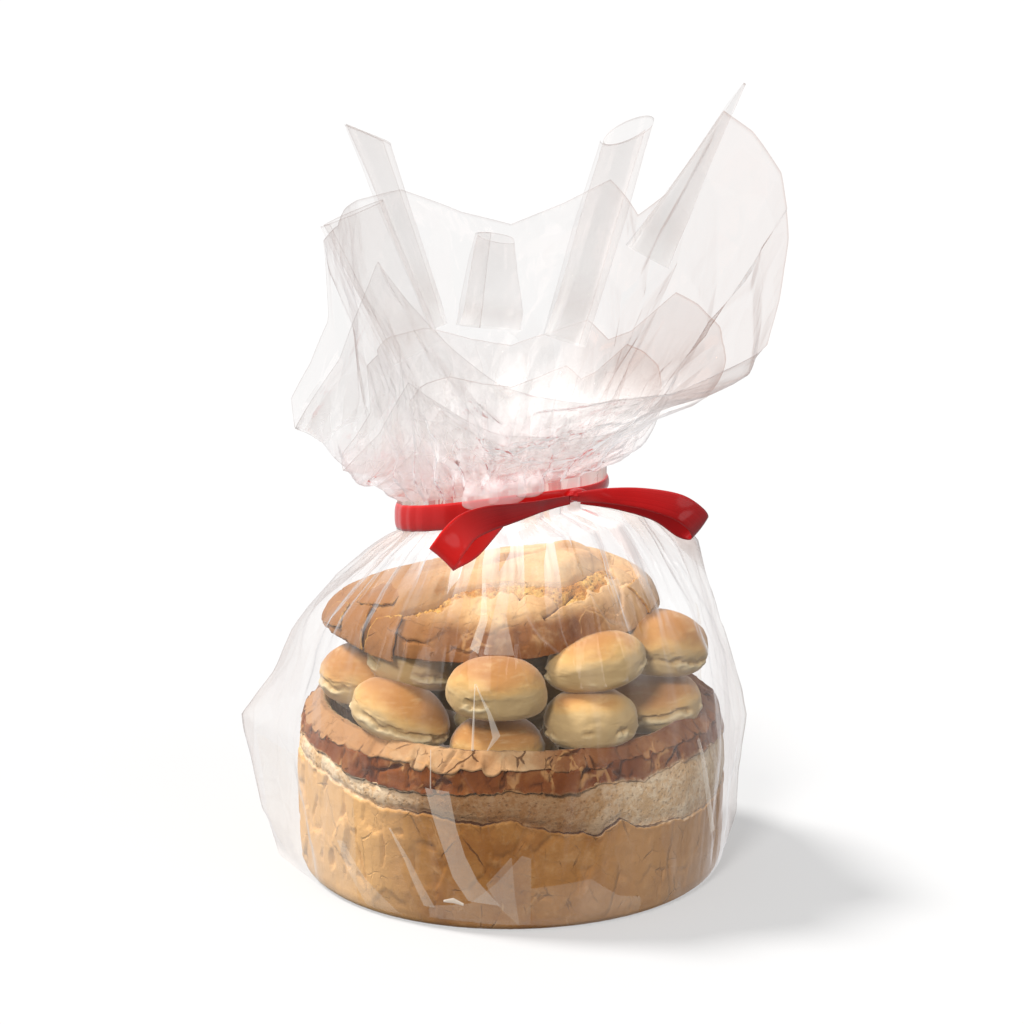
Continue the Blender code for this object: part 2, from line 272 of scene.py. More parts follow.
# Corners of the film that rolled up when it was cut: foot and top of each roll's middle line, half
# its width at both, its depth as a share of that, turns, and how its top is cut.
ROLLS = {
    "film_roll_left": ((-0.044, 0.048, 0.325), (-0.0868, 0.08, 0.4389),
        0.006, 0.0122, 0.55, 1.35, (0.085, 0.0)),
    "film_roll_right": ((0.033, 0.055, 0.315), (0.0724, 0.1, 0.4385),
        0.014, 0.0146, 0.45, 1.4, (-0.075, -0.045)),
    "film_corner": ((0.083, 0.0475, 0.368), (0.1412, 0.055, 0.4724),
        0.0155, 0.0005, 0.4, 1.1, (0.0, 0.0)),
    "film_roll_middle": ((-0.0132, 0.045, 0.325), (-0.0085, 0.06, 0.378),
        0.0204, 0.0135, 0.5, 1.2, (0.02, 0.06)),
    "film_fold_left": ((-0.056, -0.008, 0.32), (-0.0951, 0.02, 0.3995),
        0.0175, 0.021, 0.28, 1.1, (0.01, 0.0)),
}

# Tucks where the film of the bag lies double and looks milky: how milky each is, and then its stations
# along the strip, each with the direction in degrees and the height of its one and its other edge. The
# strip on the right and the small lens low at the front are painted glints.
TUCKS_AND_GLINTS = (
    (0.34, (-111.7, 0.0880, -105.4, 0.0872), (-110.0, 0.0732, -103.5, 0.0651),
     (-107.1, 0.0524, -101.4, 0.0488), (-104.7, 0.0353, -98.2, 0.0335), (-100.7, 0.0209, -92.7, 0.0186)),
    (0.16, (-90.0, 0.0487, -89.8, 0.0487), (-96.2, 0.0317, -89.0, 0.0250), (-93.0, 0.0180, -87.8, 0.0053)),
    (0.50, (-99.6, 0.1501, -99.3, 0.1501), (-99.9, 0.1125, -99.2, 0.1125)),
    (0.42, (-99.4, 0.1501, -99.1, 0.1501), (-96.0, 0.1340, -95.0, 0.1340), (-94.6, 0.1205, -92.6, 0.1215),
     (-96.0, 0.1129, -95.6, 0.1129)),
    (0.50, (-110.6, 0.1110, -110.2, 0.1110), (-110.4, 0.0879, -110.0, 0.0879)),
    (0.28, (-122.0, 0.0600, -121.4, 0.0600), (-117.5, 0.0420, -115.9, 0.0420),
     (-112.5, 0.0146, -109.5, 0.0146)),
    (0.30, (-100.0, 0.1930, -98.6, 0.1935), (-99.4, 0.1790, -97.0, 0.1780),
     (-101.8, 0.1660, -99.2, 0.1640)),
    (0.20, (-93.6, 0.1930, -90.0, 0.1925), (-95.6, 0.1780, -91.5, 0.1790), (-97.6, 0.1640, -89.0, 0.1630)),
    # Painted glint: the strip on the right.
    (0.35, (-34.6, 0.1010, -33.4, 0.1010), (-31.8, 0.0760, -29.4, 0.0760), (-29.6, 0.0560, -26.8, 0.0540),
     (-27.0, 0.0370, -24.2, 0.0370)),
    (0.10, (-55.0, 0.0040, -55.0, 0.0150), (-60.0, 0.0037, -61.7, 0.0187), (-69.0, 0.0034, -69.8, 0.0326),
     (-84.8, 0.0051, -85.0, 0.0293)),
    (0.16, (-85.0, 0.0051, -85.0, 0.0479), (-87.3, 0.0055, -87.3, 0.0499), (-93.6, 0.0060, -93.5, 0.0331),
     (-100.4, 0.0070, -100.4, 0.0190), (-111.1, 0.0079, -111.0, 0.0151)),
    # Painted glint: the small lens low at the front.
    (0.90, (-107.1, 0.0185, -107.1, 0.0200), (-104.5, 0.0185, -104.5, 0.0220),
     (-101.9, 0.0175, -101.9, 0.0190)),
    (0.06, (-176.0, 0.0840, -133.4, 0.0800), (-176.0, 0.0400, -132.8, 0.0400),
     (-176.0, 0.0040, -133.4, 0.0040)),
    (0.16, (-140.0, 0.0420, -137.5, 0.0430), (-136.0, 0.0250, -130.0, 0.0240),
     (-130.0, 0.0060, -119.0, 0.0060)),
    (0.24, (20.0, 0.1500, 22.0, 0.1500), (26.0, 0.1000, 30.0, 0.1000), (24.0, 0.0300, 33.0, 0.0300)),
    (0.24, (75.0, 0.1400, 77.0, 0.1400), (70.0, 0.0900, 76.0, 0.0880), (72.0, 0.0250, 83.0, 0.0250)),
    (0.24, (128.0, 0.1500, 130.0, 0.1500), (134.0, 0.1000, 137.0, 0.1000), (130.0, 0.0300, 140.0, 0.0300)),
)

# Rings of loose film above the tie: finish, columns and rows of points, seed, share of the hem's height
# and of its reach, turn, and how crushed it is.
RUFFLES = {
    "film_ruffle": ("film_crushed", 640, 140, 2.0, 1.0, 1.0, 0.0, 1.0),
    "film_ruffle_inner": ("film_inside", 460, 80, 5.0, 0.50, 0.78, 0.4, 1.1),
    "film_ruffle_core": ("film_inside", 360, 60, 8.0, 0.36, 0.55, 0.9, 1.1),
}

# Small lobes of the loose film that hang over the ribbon: direction and half width in degrees, and
# drop. Then how far they bulge and how far up they start.
LOBES = ((-99.0, 8.0, 0.0060), (-87.5, 8.0, 0.0070), (-78.0, 6.0, 0.0040), (60.0, 16.0, 0.0090))
LOBE_BULGE, LOBE_START = 0.0170, 0.0150

# The ribbon.
RIBBON_WIDTH, RIBBON_THICKNESS = 0.016, 0.0004
RIBBON_OUT = 0.0010
KNOT_DIRECTION, PINCH_DIRECTION = math.radians(-49), math.radians(-24)
PINCH_ANGLE, PINCHED_WIDTH = math.radians(75), 0.0060
KNOT_SIZE, KNOT_OUT = (0.0062, 0.0046, 0.0040), 0.0052

# The ribbon's two ends: middle, direction across and width at each station. The left one crosses the
# front and curls under itself. The right one is a loop: out along the top, round its drooping end and
# back below.
RIBBON_TAIL = (
    ((0.0350, -0.0440, 0.2390), (0.00, -0.10, 1.00), 0.0055),
    ((0.0218, -0.0520, 0.2382), (0.00, -0.12, 1.00), 0.0068),
    ((0.0141, -0.0580, 0.2376), (-0.05, -0.15, 1.00), 0.0085),
    ((0.0006, -0.0645, 0.2360), (-0.10, -0.15, 1.00), 0.0125),
    ((-0.0134, -0.0700, 0.2342), (-0.22, -0.12, 0.97), 0.0160),
    ((-0.0250, -0.0760, 0.2308), (-0.50, -0.08, 0.86), 0.0178),
    ((-0.0324, -0.0820, 0.2246), (-0.68, -0.02, 0.72), 0.0188),
    ((-0.0376, -0.0855, 0.2180), (-0.72, 0.00, 0.69), 0.0192),
    ((-0.0404, -0.0835, 0.2132), (-0.72, 0.00, 0.69), 0.0192),
    ((-0.0375, -0.0785, 0.2132), (-0.72, 0.00, 0.69), 0.0188),
    ((-0.0300, -0.0745, 0.2158), (-0.72, 0.00, 0.69), 0.0180),
    ((-0.0200, -0.0712, 0.2215), (-0.50, 0.00, 0.86), 0.0150),
    ((-0.0060, -0.0640, 0.2330), (-0.25, 0.00, 0.96), 0.0110),
)
RIBBON_LOOP = (
    ((0.0390, -0.0430, 0.2405), (0.00, -0.20, 1.00), 0.0060),
    ((0.0560, -0.0500, 0.2430), (0.00, 0.25, 1.00), 0.0090),
    ((0.0780, -0.0530, 0.2420), (0.05, 0.50, 0.85), 0.0130),
    ((0.0980, -0.0530, 0.2370), (0.25, 0.50, 0.80), 0.0160),
    ((0.1090, -0.0515, 0.2290), (0.55, 0.40, 0.72), 0.0160),
    ((0.1110, -0.0480, 0.2225), (0.60, 0.20, 0.75), 0.0160),
    ((0.1020, -0.0455, 0.2240), (0.45, 0.00, 0.88), 0.0160),
    ((0.0850, -0.0460, 0.2330), (0.15, -0.15, 1.00), 0.0130),
    ((0.0620, -0.0465, 0.2380), (0.00, -0.20, 1.00), 0.0090),
    ((0.0410, -0.0430, 0.2390), (0.00, -0.20, 1.00), 0.0060),
)
RIBBON_CROWN, RIBBON_STEPS, RIBBON_POINTS, RING_POINTS = 0.0006, 14, 11, 300

# Painted shade and light along the ribbon, at the start and at the end of each length: 1 darkens the red
# where the band lies in shade, 0 lightens it as on the curl at the tail's end.
RIBBON_SHADING = {
    "ribbon_turn": (0.5, 0.5),
    "ribbon_tail": (1.0, 0.0),
    "ribbon_loop": (0.8, 1.0),
    "ribbon_knot": (0.9, 0.9),
}

# The finishes of the film: its tone, how much it mirrors, the glow that stands for light through it,
# and how milky it is.
FILM_LOOKS = {
    "film_clear": ((250, 246, 244), 0.85, 0.10, 2.2),
    "film_wrapped": ((250, 244, 240), 1.4, 0.12, 2.4),
    "film_doubled": ((250, 238, 222), 1.0, 0.12, 0.5),
    "film_crushed": ((252, 248, 246), 1.5, 0.27, 1.2),
    "film_inside": ((252, 248, 246), 1.5, 0.27, 1.2),
}

# The wrinkles of two of them: how large, drawn out, slanted and tilted, and how strong their lines are.
FILM_WRINKLES = {
    "film_wrapped": (0.026, 3.2, 0.20, 0.075, 0.06),
    "film_crushed": (0.015, 1.4, 0.30, 0.15, 0.20),
}
FILM_IOR, FILM_ROUGHNESS, PLAIN_MILK = 1.50, 0.09, 0.4
MOST_MIRROR, MOST_COVER, FILM_LAYERS = 0.62, 0.94, 32
# How much edges and grey parts cover with a dark veil of painted reflection.
EDGE_HAZE, GREY_HAZE = 0.34, 0.062
BLACK = (0.0, 0.0, 0.0, 1.0)

# What a finish of bread needs: the outlets of both effects that it is mixed from.
BREAD_LOOK = {"Colour": "Color", "Rough": "Float", "Height": "Float"}
BREAD_BUMP = 0.0011


def shade(red, green, blue):
    """A colour as a screen shows it, 0 to 255, in the linear light that shaders use."""
    parts = [c / 255 for c in (red, green, blue)]
    return (*[c / 12.92 if c < 0.04045 else ((c + 0.055) / 1.055) ** 2.4 for c in parts], 1.0)


def mix(a, b, share):
    return a + (b - a) * share


def fade(value, start, end):
    """0 before start and 1 after end, smooth between."""
    share = np.clip((value - start) / (end - start), 0, 1)
    return share * share * (3 - 2 * share)


def saw(turns):
    """A triangle wave from -1 to 1."""
    return 4 * np.abs(turns % 1 - 0.5) - 1


def jagged(angles, seed, counts, height):
    """A torn line round an axis: triangle waves of several counts, each at its own phase."""
    draw = np.random.default_rng(seed)
    waves = [saw(angles / TAU * n + draw.uniform()) / (1 + i * 0.6) for i, n in enumerate(counts)]
    return height * sum(waves)


def wander(angles, seed, counts, height):
    """A soft wavering line round an axis."""
    draw = np.random.default_rng(seed)
    return height * sum(np.sin(n * angles + draw.uniform(0, TAU)) / (i + 1) for i, n in enumerate(counts))


def smooth_curve(points, steps):
    """A Catmull-Rom curve through the points, with that many steps between each two."""
    points = np.asarray(points, float)
    ends = np.vstack([2 * points[:1] - points[1:2], points, 2 * points[-1:] - points[-2:-1]])
    t = (np.arange(steps) / steps)[:, None]
    spans = []
    for a, b, c, d in zip(ends, ends[1:], ends[2:], ends[3:]):
        cubic = (c - a) * t + (2 * a - 5 * b + 4 * c - d) * t**2 + (3 * b - a - 3 * c + d) * t**3
        spans.append(b + 0.5 * cubic)
    return np.vstack([*spans, points[-1:]])


def row_values(count, start=0.0, end=1.0):
    """Even steps down the rows of a grid."""
    return np.linspace(start, end, count)[:, None]


def column_values(count, start=0.0, end=1.0):
    """Even steps along the columns of a grid."""
    return np.linspace(start, end, count)[None, :]


def round_axis(columns):
    """Even directions round an axis, as one row."""
    return np.arange(columns)[None, :] / columns * TAU


def over_patch(corners, across, up):
    """A value between four corners: lower left, lower right, upper right and upper left."""
    return mix(mix(corners[0], corners[1], across), mix(corners[3], corners[2], across), up)


# Node trees.


class Flow:
    """A value in a node tree that adds and multiplies like a number."""

    def __init__(self, net, socket):
        self.net = net
        self.socket = socket

    def __add__(self, other):
        return self.net.math("ADD", self, other)

    def __sub__(self, other):
        return self.net.math("SUBTRACT", self, other)

    def __rsub__(self, other):
        return self.net.math("SUBTRACT", other, self)

    def __mul__(self, other):
        return self.net.math("MULTIPLY", self, other)

    def __truediv__(self, other):
        return self.net.math("DIVIDE", self, other)

    def __rtruediv__(self, other):
        return self.net.math("DIVIDE", other, self)

    __radd__ = __add__
    __rmul__ = __mul__


class Net:
    """Puts nodes in a tree, geometry or shader, and joins them."""

    def __init__(self, tree):
        self.tree = tree

    def put(self, kind, out=0, into=None, **settings):
        node = self.tree.nodes.new(kind)
        for name, value in settings.items():
            setattr(node, name, value)
        for key, value in (into or {}).items():
            self.feed(node.inputs[key], value)
        return Flow(self, node.outputs[out]) if len(node.outputs) else node

    def feed(self, socket, value):
        if isinstance(value, Flow):
            self.tree.links.new(value.socket, socket)
        else:
            socket.default_value = value

    def math(self, operation, *values):
        return self.put("ShaderNodeMath", into=dict(enumerate(values)), operation=operation)

    def vector(self, operation, *values):
        out = "Value" if operation in ("LENGTH", "DOT_PRODUCT") else "Vector"
        into = dict(enumerate(values))
        if operation == "SCALE":
            into = {0: values[0], "Scale": values[1]}
        return self.put("ShaderNodeVectorMath", out, into, operation=operation)

    def noise(self, place, scale, detail=3.0, rough=0.5, out="Fac", flat="3D"):
        into = {"Vector": place, "Scale": scale, "Detail": detail, "Roughness": rough}
        return self.put("ShaderNodeTexNoise", out, into, noise_dimensions=flat)

    def cells(self, place, scale, feature="F1", out="Distance", flat="3D"):
        """Random cells: the distance from the nearest one or its colour."""
        into = {"Vector": place, "Scale": scale}
        return self.put("ShaderNodeTexVoronoi", out, into, feature=feature, voronoi_dimensions=flat)

    def step(self, value, low, high):
        """0 at low and 1 at high, smooth between."""
        into = {0: value, 1: low, 2: high, 3: 0.0, 4: 1.0}
        return self.put("ShaderNodeMapRange", 0, into, interpolation_type="SMOOTHSTEP")

    def blend(self, share, a, b):
        return self.put("ShaderNodeMix", 0, {0: share, 2: a, 3: b})

    def tint(self, share, a, b, how="MIX"):
        return self.put("ShaderNodeMix", 2, {0: share, 6: a, 7: b}, data_type="RGBA", blend_type=how)

    def point(self, x, y, z):
        return self.put("ShaderNodeCombineXYZ", 0, {0: x, 1: y, 2: z})

    def parts(self, place):
        node = self.put("ShaderNodeSeparateXYZ", 0, {0: place}).socket.node
        return [Flow(self, socket) for socket in node.outputs]

    def store(self, mesh, name, value, kind="FLOAT"):
        """The mesh with a named value kept at each of its points."""
        into = {"Geometry": mesh, "Name": name, "Value": value}
        return self.put("GeometryNodeStoreNamedAttribute", 0, into, data_type=kind, domain="POINT")

    def push_out(self, mesh, height):
        """The mesh with each point pushed out along its normal."""
        offset = self.vector("SCALE", self.put("GeometryNodeInputNormal"), height)
        return self.put("GeometryNodeSetPosition", 0, {"Geometry": mesh, "Offset": offset})

    def warped(self, place, scale, reach):
        """The place, pushed about by a soft noise so that straight patterns wander."""
        push = self.vector("SUBTRACT", self.noise(place, scale, 2.0, out="Color"), (0.5, 0.5, 0.5))
        return self.vector("ADD", place, self.vector("SCALE", push, 2 * reach))


def plate_cracks(net, place, size, width):
    """Broken cracks in a crust: 1 in a crack, 0 elsewhere, and the tone of each plate between them."""
    wandering = net.warped(place, 0.7 / size, 0.22 * size)
    wandering = net.warped(wandering, 5.0 / size, 0.045 * size)
    edge = net.cells(wandering, 1 / size, "DISTANCE_TO_EDGE") * size
    tone = net.cells(wandering, 1 / size, "F1", "Color")
    kept = net.noise(place, 1.1 / size, 2.0, 0.5)
    wide = net.step(kept, 0.5, 0.6) * width
    return 1 - net.step(edge, wide * 0.2, wide + 0.00002), tone


# Meshes.


def mesh_piece(name, vertices, faces, fields=None):
    """A mesh object with a value at each vertex for every named field."""
    mesh = bpy.data.meshes.new(name)
    mesh.from_pydata(np.asarray(vertices, float).tolist(), [], faces)
    mesh.update()
    for field, values in (fields or {}).items():
        kept = mesh.attributes.new(field, "FLOAT", "POINT")
        kept.data.foreach_set("value", np.asarray(values, np.float32))
    piece = bpy.data.objects.new(name, mesh)
    bpy.context.scene.collection.objects.link(piece)
    mesh.shade_smooth()
    return piece


def ring_faces(rows, columns):
    """Four-sided faces between rings of points that close round an axis."""
    row, column = np.meshgrid(np.arange(rows - 1), np.arange(columns), indexing="ij")
    beside = (column + 1) % columns
    low, high = row * columns, (row + 1) * columns
    corners = np.stack([low + column, low + beside, high + beside, high + column], -1)
    return corners.reshape(-1, 4).tolist()


def turned_piece(name, rings, fields, open_top=False):
    """A piece from rings of points, shut by a point at its first ring and, if not open, at its last."""
    rows, columns = rings.shape[:2]
    foot, last = rows * columns, (rows - 1) * columns
    ends = (0,) if open_top else (0, -1)
    faces = ring_faces(rows, columns)
    faces += [(foot, (i + 1) % columns, i) for i in range(columns)]
    if not open_top:
        faces += [(foot + 1, last + i, last + (i + 1) % columns) for i in range(columns)]
    flat = {}
    for field, values in fields.items():
        values = np.broadcast_to(values, (rows, columns))
        flat[field] = np.append(values.reshape(-1), [values[end].mean() for end in ends])
    vertices = np.vstack([rings.reshape(-1, 3), *(rings[end].mean(0) for end in ends)])
    return mesh_piece(name, vertices, faces, flat)


def geometry_tree(name, sizes):
    """A Geometry Nodes tree that takes a mesh, named sizes and a finish."""
    tree = bpy.data.node_groups.new(name, "GeometryNodeTree")
    tree.interface.new_socket("Mesh", in_out="INPUT", socket_type="NodeSocketGeometry")
    tree.interface.new_socket("Mesh", in_out="OUTPUT", socket_type="NodeSocketGeometry")
    for size in sizes:
        tree.interface.new_socket(size, in_out="INPUT", socket_type="NodeSocketFloat")
    tree.interface.new_socket("Finish", in_out="INPUT", socket_type="NodeSocketMaterial")
    net = Net(tree)
    given = tree.nodes.new("NodeGroupInput")
    return net, {socket.name: Flow(net, socket) for socket in given.outputs if socket.name}


def close_tree(net, mesh, finish):
    """Ends a tree: instances are made real and the finish is set."""
    real = net.put("GeometryNodeRealizeInstances", 0, {0: mesh})
    done = net.put("GeometryNodeSetMaterial", 0, {"Geometry": real, "Material": finish})
    net.feed(net.tree.nodes.new("NodeGroupOutput").inputs[0], done)
    return net.tree


def run_tree(piece, tree, finish, **sizes):
    """Runs a Geometry Nodes tree on a piece and keeps the result as its plain mesh."""
    modifier = piece.modifiers.new(tree.name, "NODES")
    modifier.node_group = tree
    given = {**{name.replace("_", " ").title(): value for name, value in sizes.items()}, "Finish": finish}
    for socket in tree.interface.items_tree:
        if socket.in_out == "INPUT" and socket.name in given:
            modifier[socket.identifier] = given[socket.name]
    graph = bpy.context.evaluated_depsgraph_get()
    made = bpy.data.meshes.new_from_object(
        piece.evaluated_get(graph), preserve_all_data_layers=True, depsgraph=graph
    )
    piece.modifiers.clear()
    piece.data = made
    made.name = piece.name
    made.shade_smooth()
    return piece


# Bread.


def crust_relief():
    """Relief of a baked crust: soft lumps, plates that tip and part at cracks, and a fine grain.

    The fields plates, rough and lumps say how much of each a place has. The untouched place is kept
    as the field dough, so that the finish follows the same cracks.
    """
    sizes = ["Lump Size", "Lump Height", "Plate Size", "Plate Tip", "Upright", "Crack Width", "Crack Depth"]
    net, given = geometry_tree("crust_relief", [*sizes, "Grain Size", "Grain Height"])
    place = net.put("GeometryNodeInputPosition")
    kept = net.store(given["Mesh"], "dough", place, "FLOAT_VECTOR")
    field = {name: named_field(net, name) for name in ("plates", "rough", "lumps")}
    lump = net.noise(place, 1 / given["Lump Size"], 3.0, 0.45) - 0.5
    squashed = net.vector("MULTIPLY", place, net.point(1.0, 1.0, 1 / given["Upright"]))
    crack, tone = plate_cracks(net, squashed, given["Plate Size"], given["Crack Width"])
    tipped = net.parts(tone)[0] - 0.5
    grain = net.noise(place, 1 / given["Grain Size"], 4.0, 0.62) - 0.5
    height = field["lumps"] * lump * given["Lump Height"] * 2
    height = height + field["plates"] * (tipped * given["Plate Tip"] - crack * given["Crack Depth"])
    height = height + field["rough"] * grain * given["Grain Height"] * 2
    return close_tree(net, net.push_out(kept, height), given["Finish"])


def named_field(net, name):
    return net.put("GeometryNodeInputNamedAttribute", 0, {"Name": name}, data_type="FLOAT")


def side_reach(height):
    """How far the loaf's side stands from its axis at a height."""
    heights, reaches = zip(*LOAF_SIDE)
    return np.interp(height, heights, reaches)


def crack_lines(angles):
    """Heights of the upper and the lower crack, and how open each is, at each direction."""
    degrees = np.degrees(angles)
    stations = np.array(BURST_CRACKS)
    columns = [np.interp(degrees, stations[:, 0], c, period=360) for c in stations.T[1:]]
    upper, lower, upper_open, lower_open = columns
    upper = upper + jagged(angles, 5, (43, 71, 117, 190), 0.00055)
    lower = lower + jagged(angles, 8, (37, 61, 103, 171), 0.00060)
    return upper, lower, upper_open, lower_open


def loaf_rings():
    """Rings of the loaf from the middle of its foot, up its side, over the rim and down its hollow."""
    angles = round_axis(LOAF_COLUMNS)[0]
    upper, lower, upper_open, lower_open = crack_lines(angles)
    round_off = 1 + wander(angles, 3, (2, 3, 5), 0.0035)
    rim = LOAF_RIM + wander(angles, 4, (2, 3, 7, 11), 0.0006) + jagged(angles, 14, (67, 111), 0.00018)
    draw = np.random.default_rng(6)
    cuts = np.cumsum(draw.uniform(0.45, 1.55, LOAF_PLATES))
    cuts = np.concatenate([[0], cuts / cuts[-1]]) * TAU
    hang = draw.uniform(0.0002, 0.0042, LOAF_PLATES)
    opens = draw.uniform(0, 1, LOAF_PLATES + 1) > 0.35
    plate = np.clip(np.searchsorted(cuts, angles, side="right") - 1, 0, LOAF_PLATES - 1)
    inside = (angles - cuts[plate]) / (cuts[plate + 1] - cuts[plate])
    arch = 1 - np.abs(inside * 2 - 1) ** 3.0
    bevel = LOAF_BEVEL + 0.0012 - hang[plate] * arch + jagged(angles, 7, (83, 131), 0.00025)
    rings = []
    # pale is 0 on the front and 1 away from it: the finish paints shade on the burst at the front and light
    # on the side crust away from it.
    pale = fade(angle_between(angles, math.radians(FRONT_AT)), *np.radians(FRONT_FADES))
    right = 1 - fade(angle_between(angles, math.radians(RIGHT_AT)), *np.radians(RIGHT_FADES))

    def cut_near(height):
        """1 at an upright crack between two plates, 0 a millimetre and a half off it."""
        moved = angles + 0.008 * np.sin(height * 620 + plate * 2.1)
        off = np.abs(moved[:, None] - cuts[None, :]) * LOAF_REACH
        nearest = off.argmin(1)
        return (1 - fade(off.min(1), 0.0003, 0.0014)) * opens[nearest]

    def ring(reach, height, **zone):
        fields = {"burst": -6.0, "soft": 0.5, "shoulder": 0, "bevel": 0, "crumb": 0, "groove": 0}
        fields |= {"plates": 0, "rough": 0, "lumps": 1, "pale": pale, "right": right}
        fields |= zone
        reach = np.broadcast_to(reach, angles.shape) * round_off
        height = np.broadcast_to(height, angles.shape)
        rings.append((reach, height, fields))

    lower_edge = mix(LOWER_SHUT, OPEN_EDGE, lower_open)
    upper_edge = mix(UPPER_SHUT, OPEN_EDGE, upper_open)
    left_side = 0.5 - 0.5 * np.cos(angles - math.radians(FEWEST_PLATES_AT))
    for share in (0.03, 0.3, 0.6, 0.85, 0.96):
        ring(LOAF_SIDE[0][1] * share, LOAF_SIDE[0][0], lumps=0)
    for share in np.linspace(0, 1, SIDE_RINGS):
        height = mix(LOAF_SIDE[0][0], lower, share**1.05)
        lift = 0.0006 * fade(share, 0.93, 1.0) * lower_open
        ring(
            side_reach(height) + lift,
            height,
            burst=(height - lower) * 1000,
            soft=lower_edge,
            plates=mix(0.25, 1.0, left_side) * fade(share, 0.02, 0.2),
            rough=0.35,
            lumps=fade(share, 0.0, 0.25),
        )
    ring(side_reach(lower) - 0.0006, lower + 0.0001, burst=0.0, groove=0.8 * lower_open, rough=0.3)
    ring(side_reach(lower) - 0.0004 - 0.0022 * lower_open, lower + 0.0004, burst=0.5, groove=lower_open)
    low_band, high_band = lower + 0.0012, upper - 0.0006
    for share in np.linspace(0, 1, BURST_RINGS):
        height = mix(low_band, high_band, share)
        dip = 0.0016 * mix(lower_open, upper_open, share) * (1 - fade(np.sin(np.pi * share), 0.0, 0.75))
        swell = 0.0007 * np.sin(np.pi * share)
        ring(
            side_reach(height) - dip - 0.0004 + swell,
            height,
            burst=np.minimum(height - lower, upper - height) * 1000,
            soft=mix(lower_edge, upper_edge, share),
            groove=0.35 * upper_open * fade(share, 0.94, 1.0),
            rough=1.0,
            lumps=1.6,
        )
    ring(side_reach(upper) - 0.0008 - 0.0030 * upper_open, upper + 0.0002, burst=0.3, groove=upper_open)
    lip = upper - 0.0005 * upper_open
    ring(side_reach(upper) - 0.0006 * upper_open, lip, burst=0.0, groove=0.7 * upper_open)
    for share in np.linspace(0, 1, SHOULDER_RINGS):
        height = mix(lip, bevel, share)
        lift = 0.0011 * upper_open * (1 - fade(share, 0.0, 0.35))
        cut = cut_near(height) * fade(share, 0.0, 0.2)
        ring(
            side_reach(height) + lift - 0.0011 * cut,
            height,
            burst=(upper - height) * 1000,
            soft=upper_edge,
            shoulder=1,
            plates=1.0,
            rough=0.25,
            groove=0.62 * cut,
        )
    edge = side_reach(bevel)
    shingled = 0.35 + 0.65 * fade(np.sin(3 * angles + 0.7), -0.2, 0.6)
    ring(edge - 0.0010 * shingled, bevel + 0.0002, shoulder=1, groove=0.55 * shingled)
    ring(edge + 0.0011 * shingled, bevel - 0.0002, shoulder=1, bevel=1, plates=0.3)
    for share in np.linspace(0.06, 1, BEVEL_RINGS):
        cut = cut_near(bevel) * (1 - 0.5 * share)
        reach = mix(edge + 0.0010 * shingled, LOAF_RIM_REACH, share**0.9) - 0.0010 * cut
        height = mix(bevel + 0.0005, rim, share) - 0.0007 * cut * share
        ring(reach, height, shoulder=1, bevel=1, plates=0.8, rough=0.2, groove=0.55 * cut)
    inner = HOLLOW_REACH + wander(angles, 9, (3, 8, 19), 0.0008)
    for share in (0.15, 0.5, 0.85):
        reach = mix(LOAF_RIM_REACH, inner, share)
        height = rim + 0.0003 * math.sin(math.pi * share) - 0.0006 * share
        ring(reach, height, shoulder=1, bevel=1, crumb=0.9 * share**2, rough=0.8)
    for share in np.linspace(0, 1, HOLLOW_RINGS):
        reach = mix(inner - 0.0004, HOLLOW_FOOT_REACH, share**1.3)
        ring(reach, mix(rim - 0.0016, HOLLOW_FLOOR, share), crumb=1, rough=2.0, lumps=1.5)
    for share in (0.93, 0.7, 0.4, 0.05):
        ring(HOLLOW_FOOT_REACH * share, HOLLOW_FLOOR - 0.002, crumb=1, rough=2.0)
    return angles, rings


def build_loaf(finish, relief):
    angles, rings = loaf_rings()
    reach = np.array([r for r, _, _ in rings])
    height = np.array([z for _, z, _ in rings])
    grid = np.stack([reach * np.cos(angles), reach * np.sin(angles), height], -1)
    names = rings[0][2].keys()
    fields = {n: np.array([np.broadcast_to(f[n], angles.shape) for _, _, f in rings]) for n in names}
    loaf = turned_piece("loaf", grid, fields)
    run_tree(
        loaf,
        relief,
        finish,
        lump_size=0.030,
        lump_height=0.0012,
        plate_size=0.019,
        plate_tip=0.0022,
        upright=1.7,
        crack_width=0.0017,
        crack_depth=0.0015,
        grain_size=0.0036,
        grain_height=0.00060,
    )
    return loaf


def path_field(x, y, path):
    """Distance to a path seen from above, positive behind it, and the share of the way along it."""
    curve = smooth_curve(path, 6)
    best = np.full(x.shape, 1e9)
    side = np.zeros(x.shape)
    along = np.zeros(x.shape)
    count = len(curve) - 1
    for i, (a, b) in enumerate(zip(curve, curve[1:])):
        run = b - a
        share = np.clip(((x - a[0]) * run[0] + (y - a[1]) * run[1]) / (run @ run), 0, 1)
        off = np.hypot(x - a[0] - share * run[0], y - a[1] - share * run[1])
        nearer = off < best
        best = np.where(nearer, off, best)
        cross = run[0] * (y - a[1]) - run[1] * (x - a[0])
        side = np.where(nearer, np.sign(cross), side)
        along = np.where(nearer, (i + share) / count, along)
    return best * side, along


def lid_plane(x, y):
    """Height of the lid's cut face under a place given from the lid's middle."""
    behind = y - LID_BENDS_FROM
    bend = LID_BEND * 0.5 * (behind + np.sqrt(behind**2 + 0.012**2))
    return LID_MIDDLE[2] + LID_LEAN_RIGHT * x + LID_LEAN_FRONT * y - bend


def lid_dome(x, y, rho):
    """How far the dome stands over the cut face: lower at the left and the back."""
    lower = 0.22 * fade(-x, -0.060, 0.030) * fade(y, -0.070, -0.020)
    return LID_HEIGHT * np.sqrt(np.maximum(0.0, 1 - rho**2.5)) * (1 - lower)


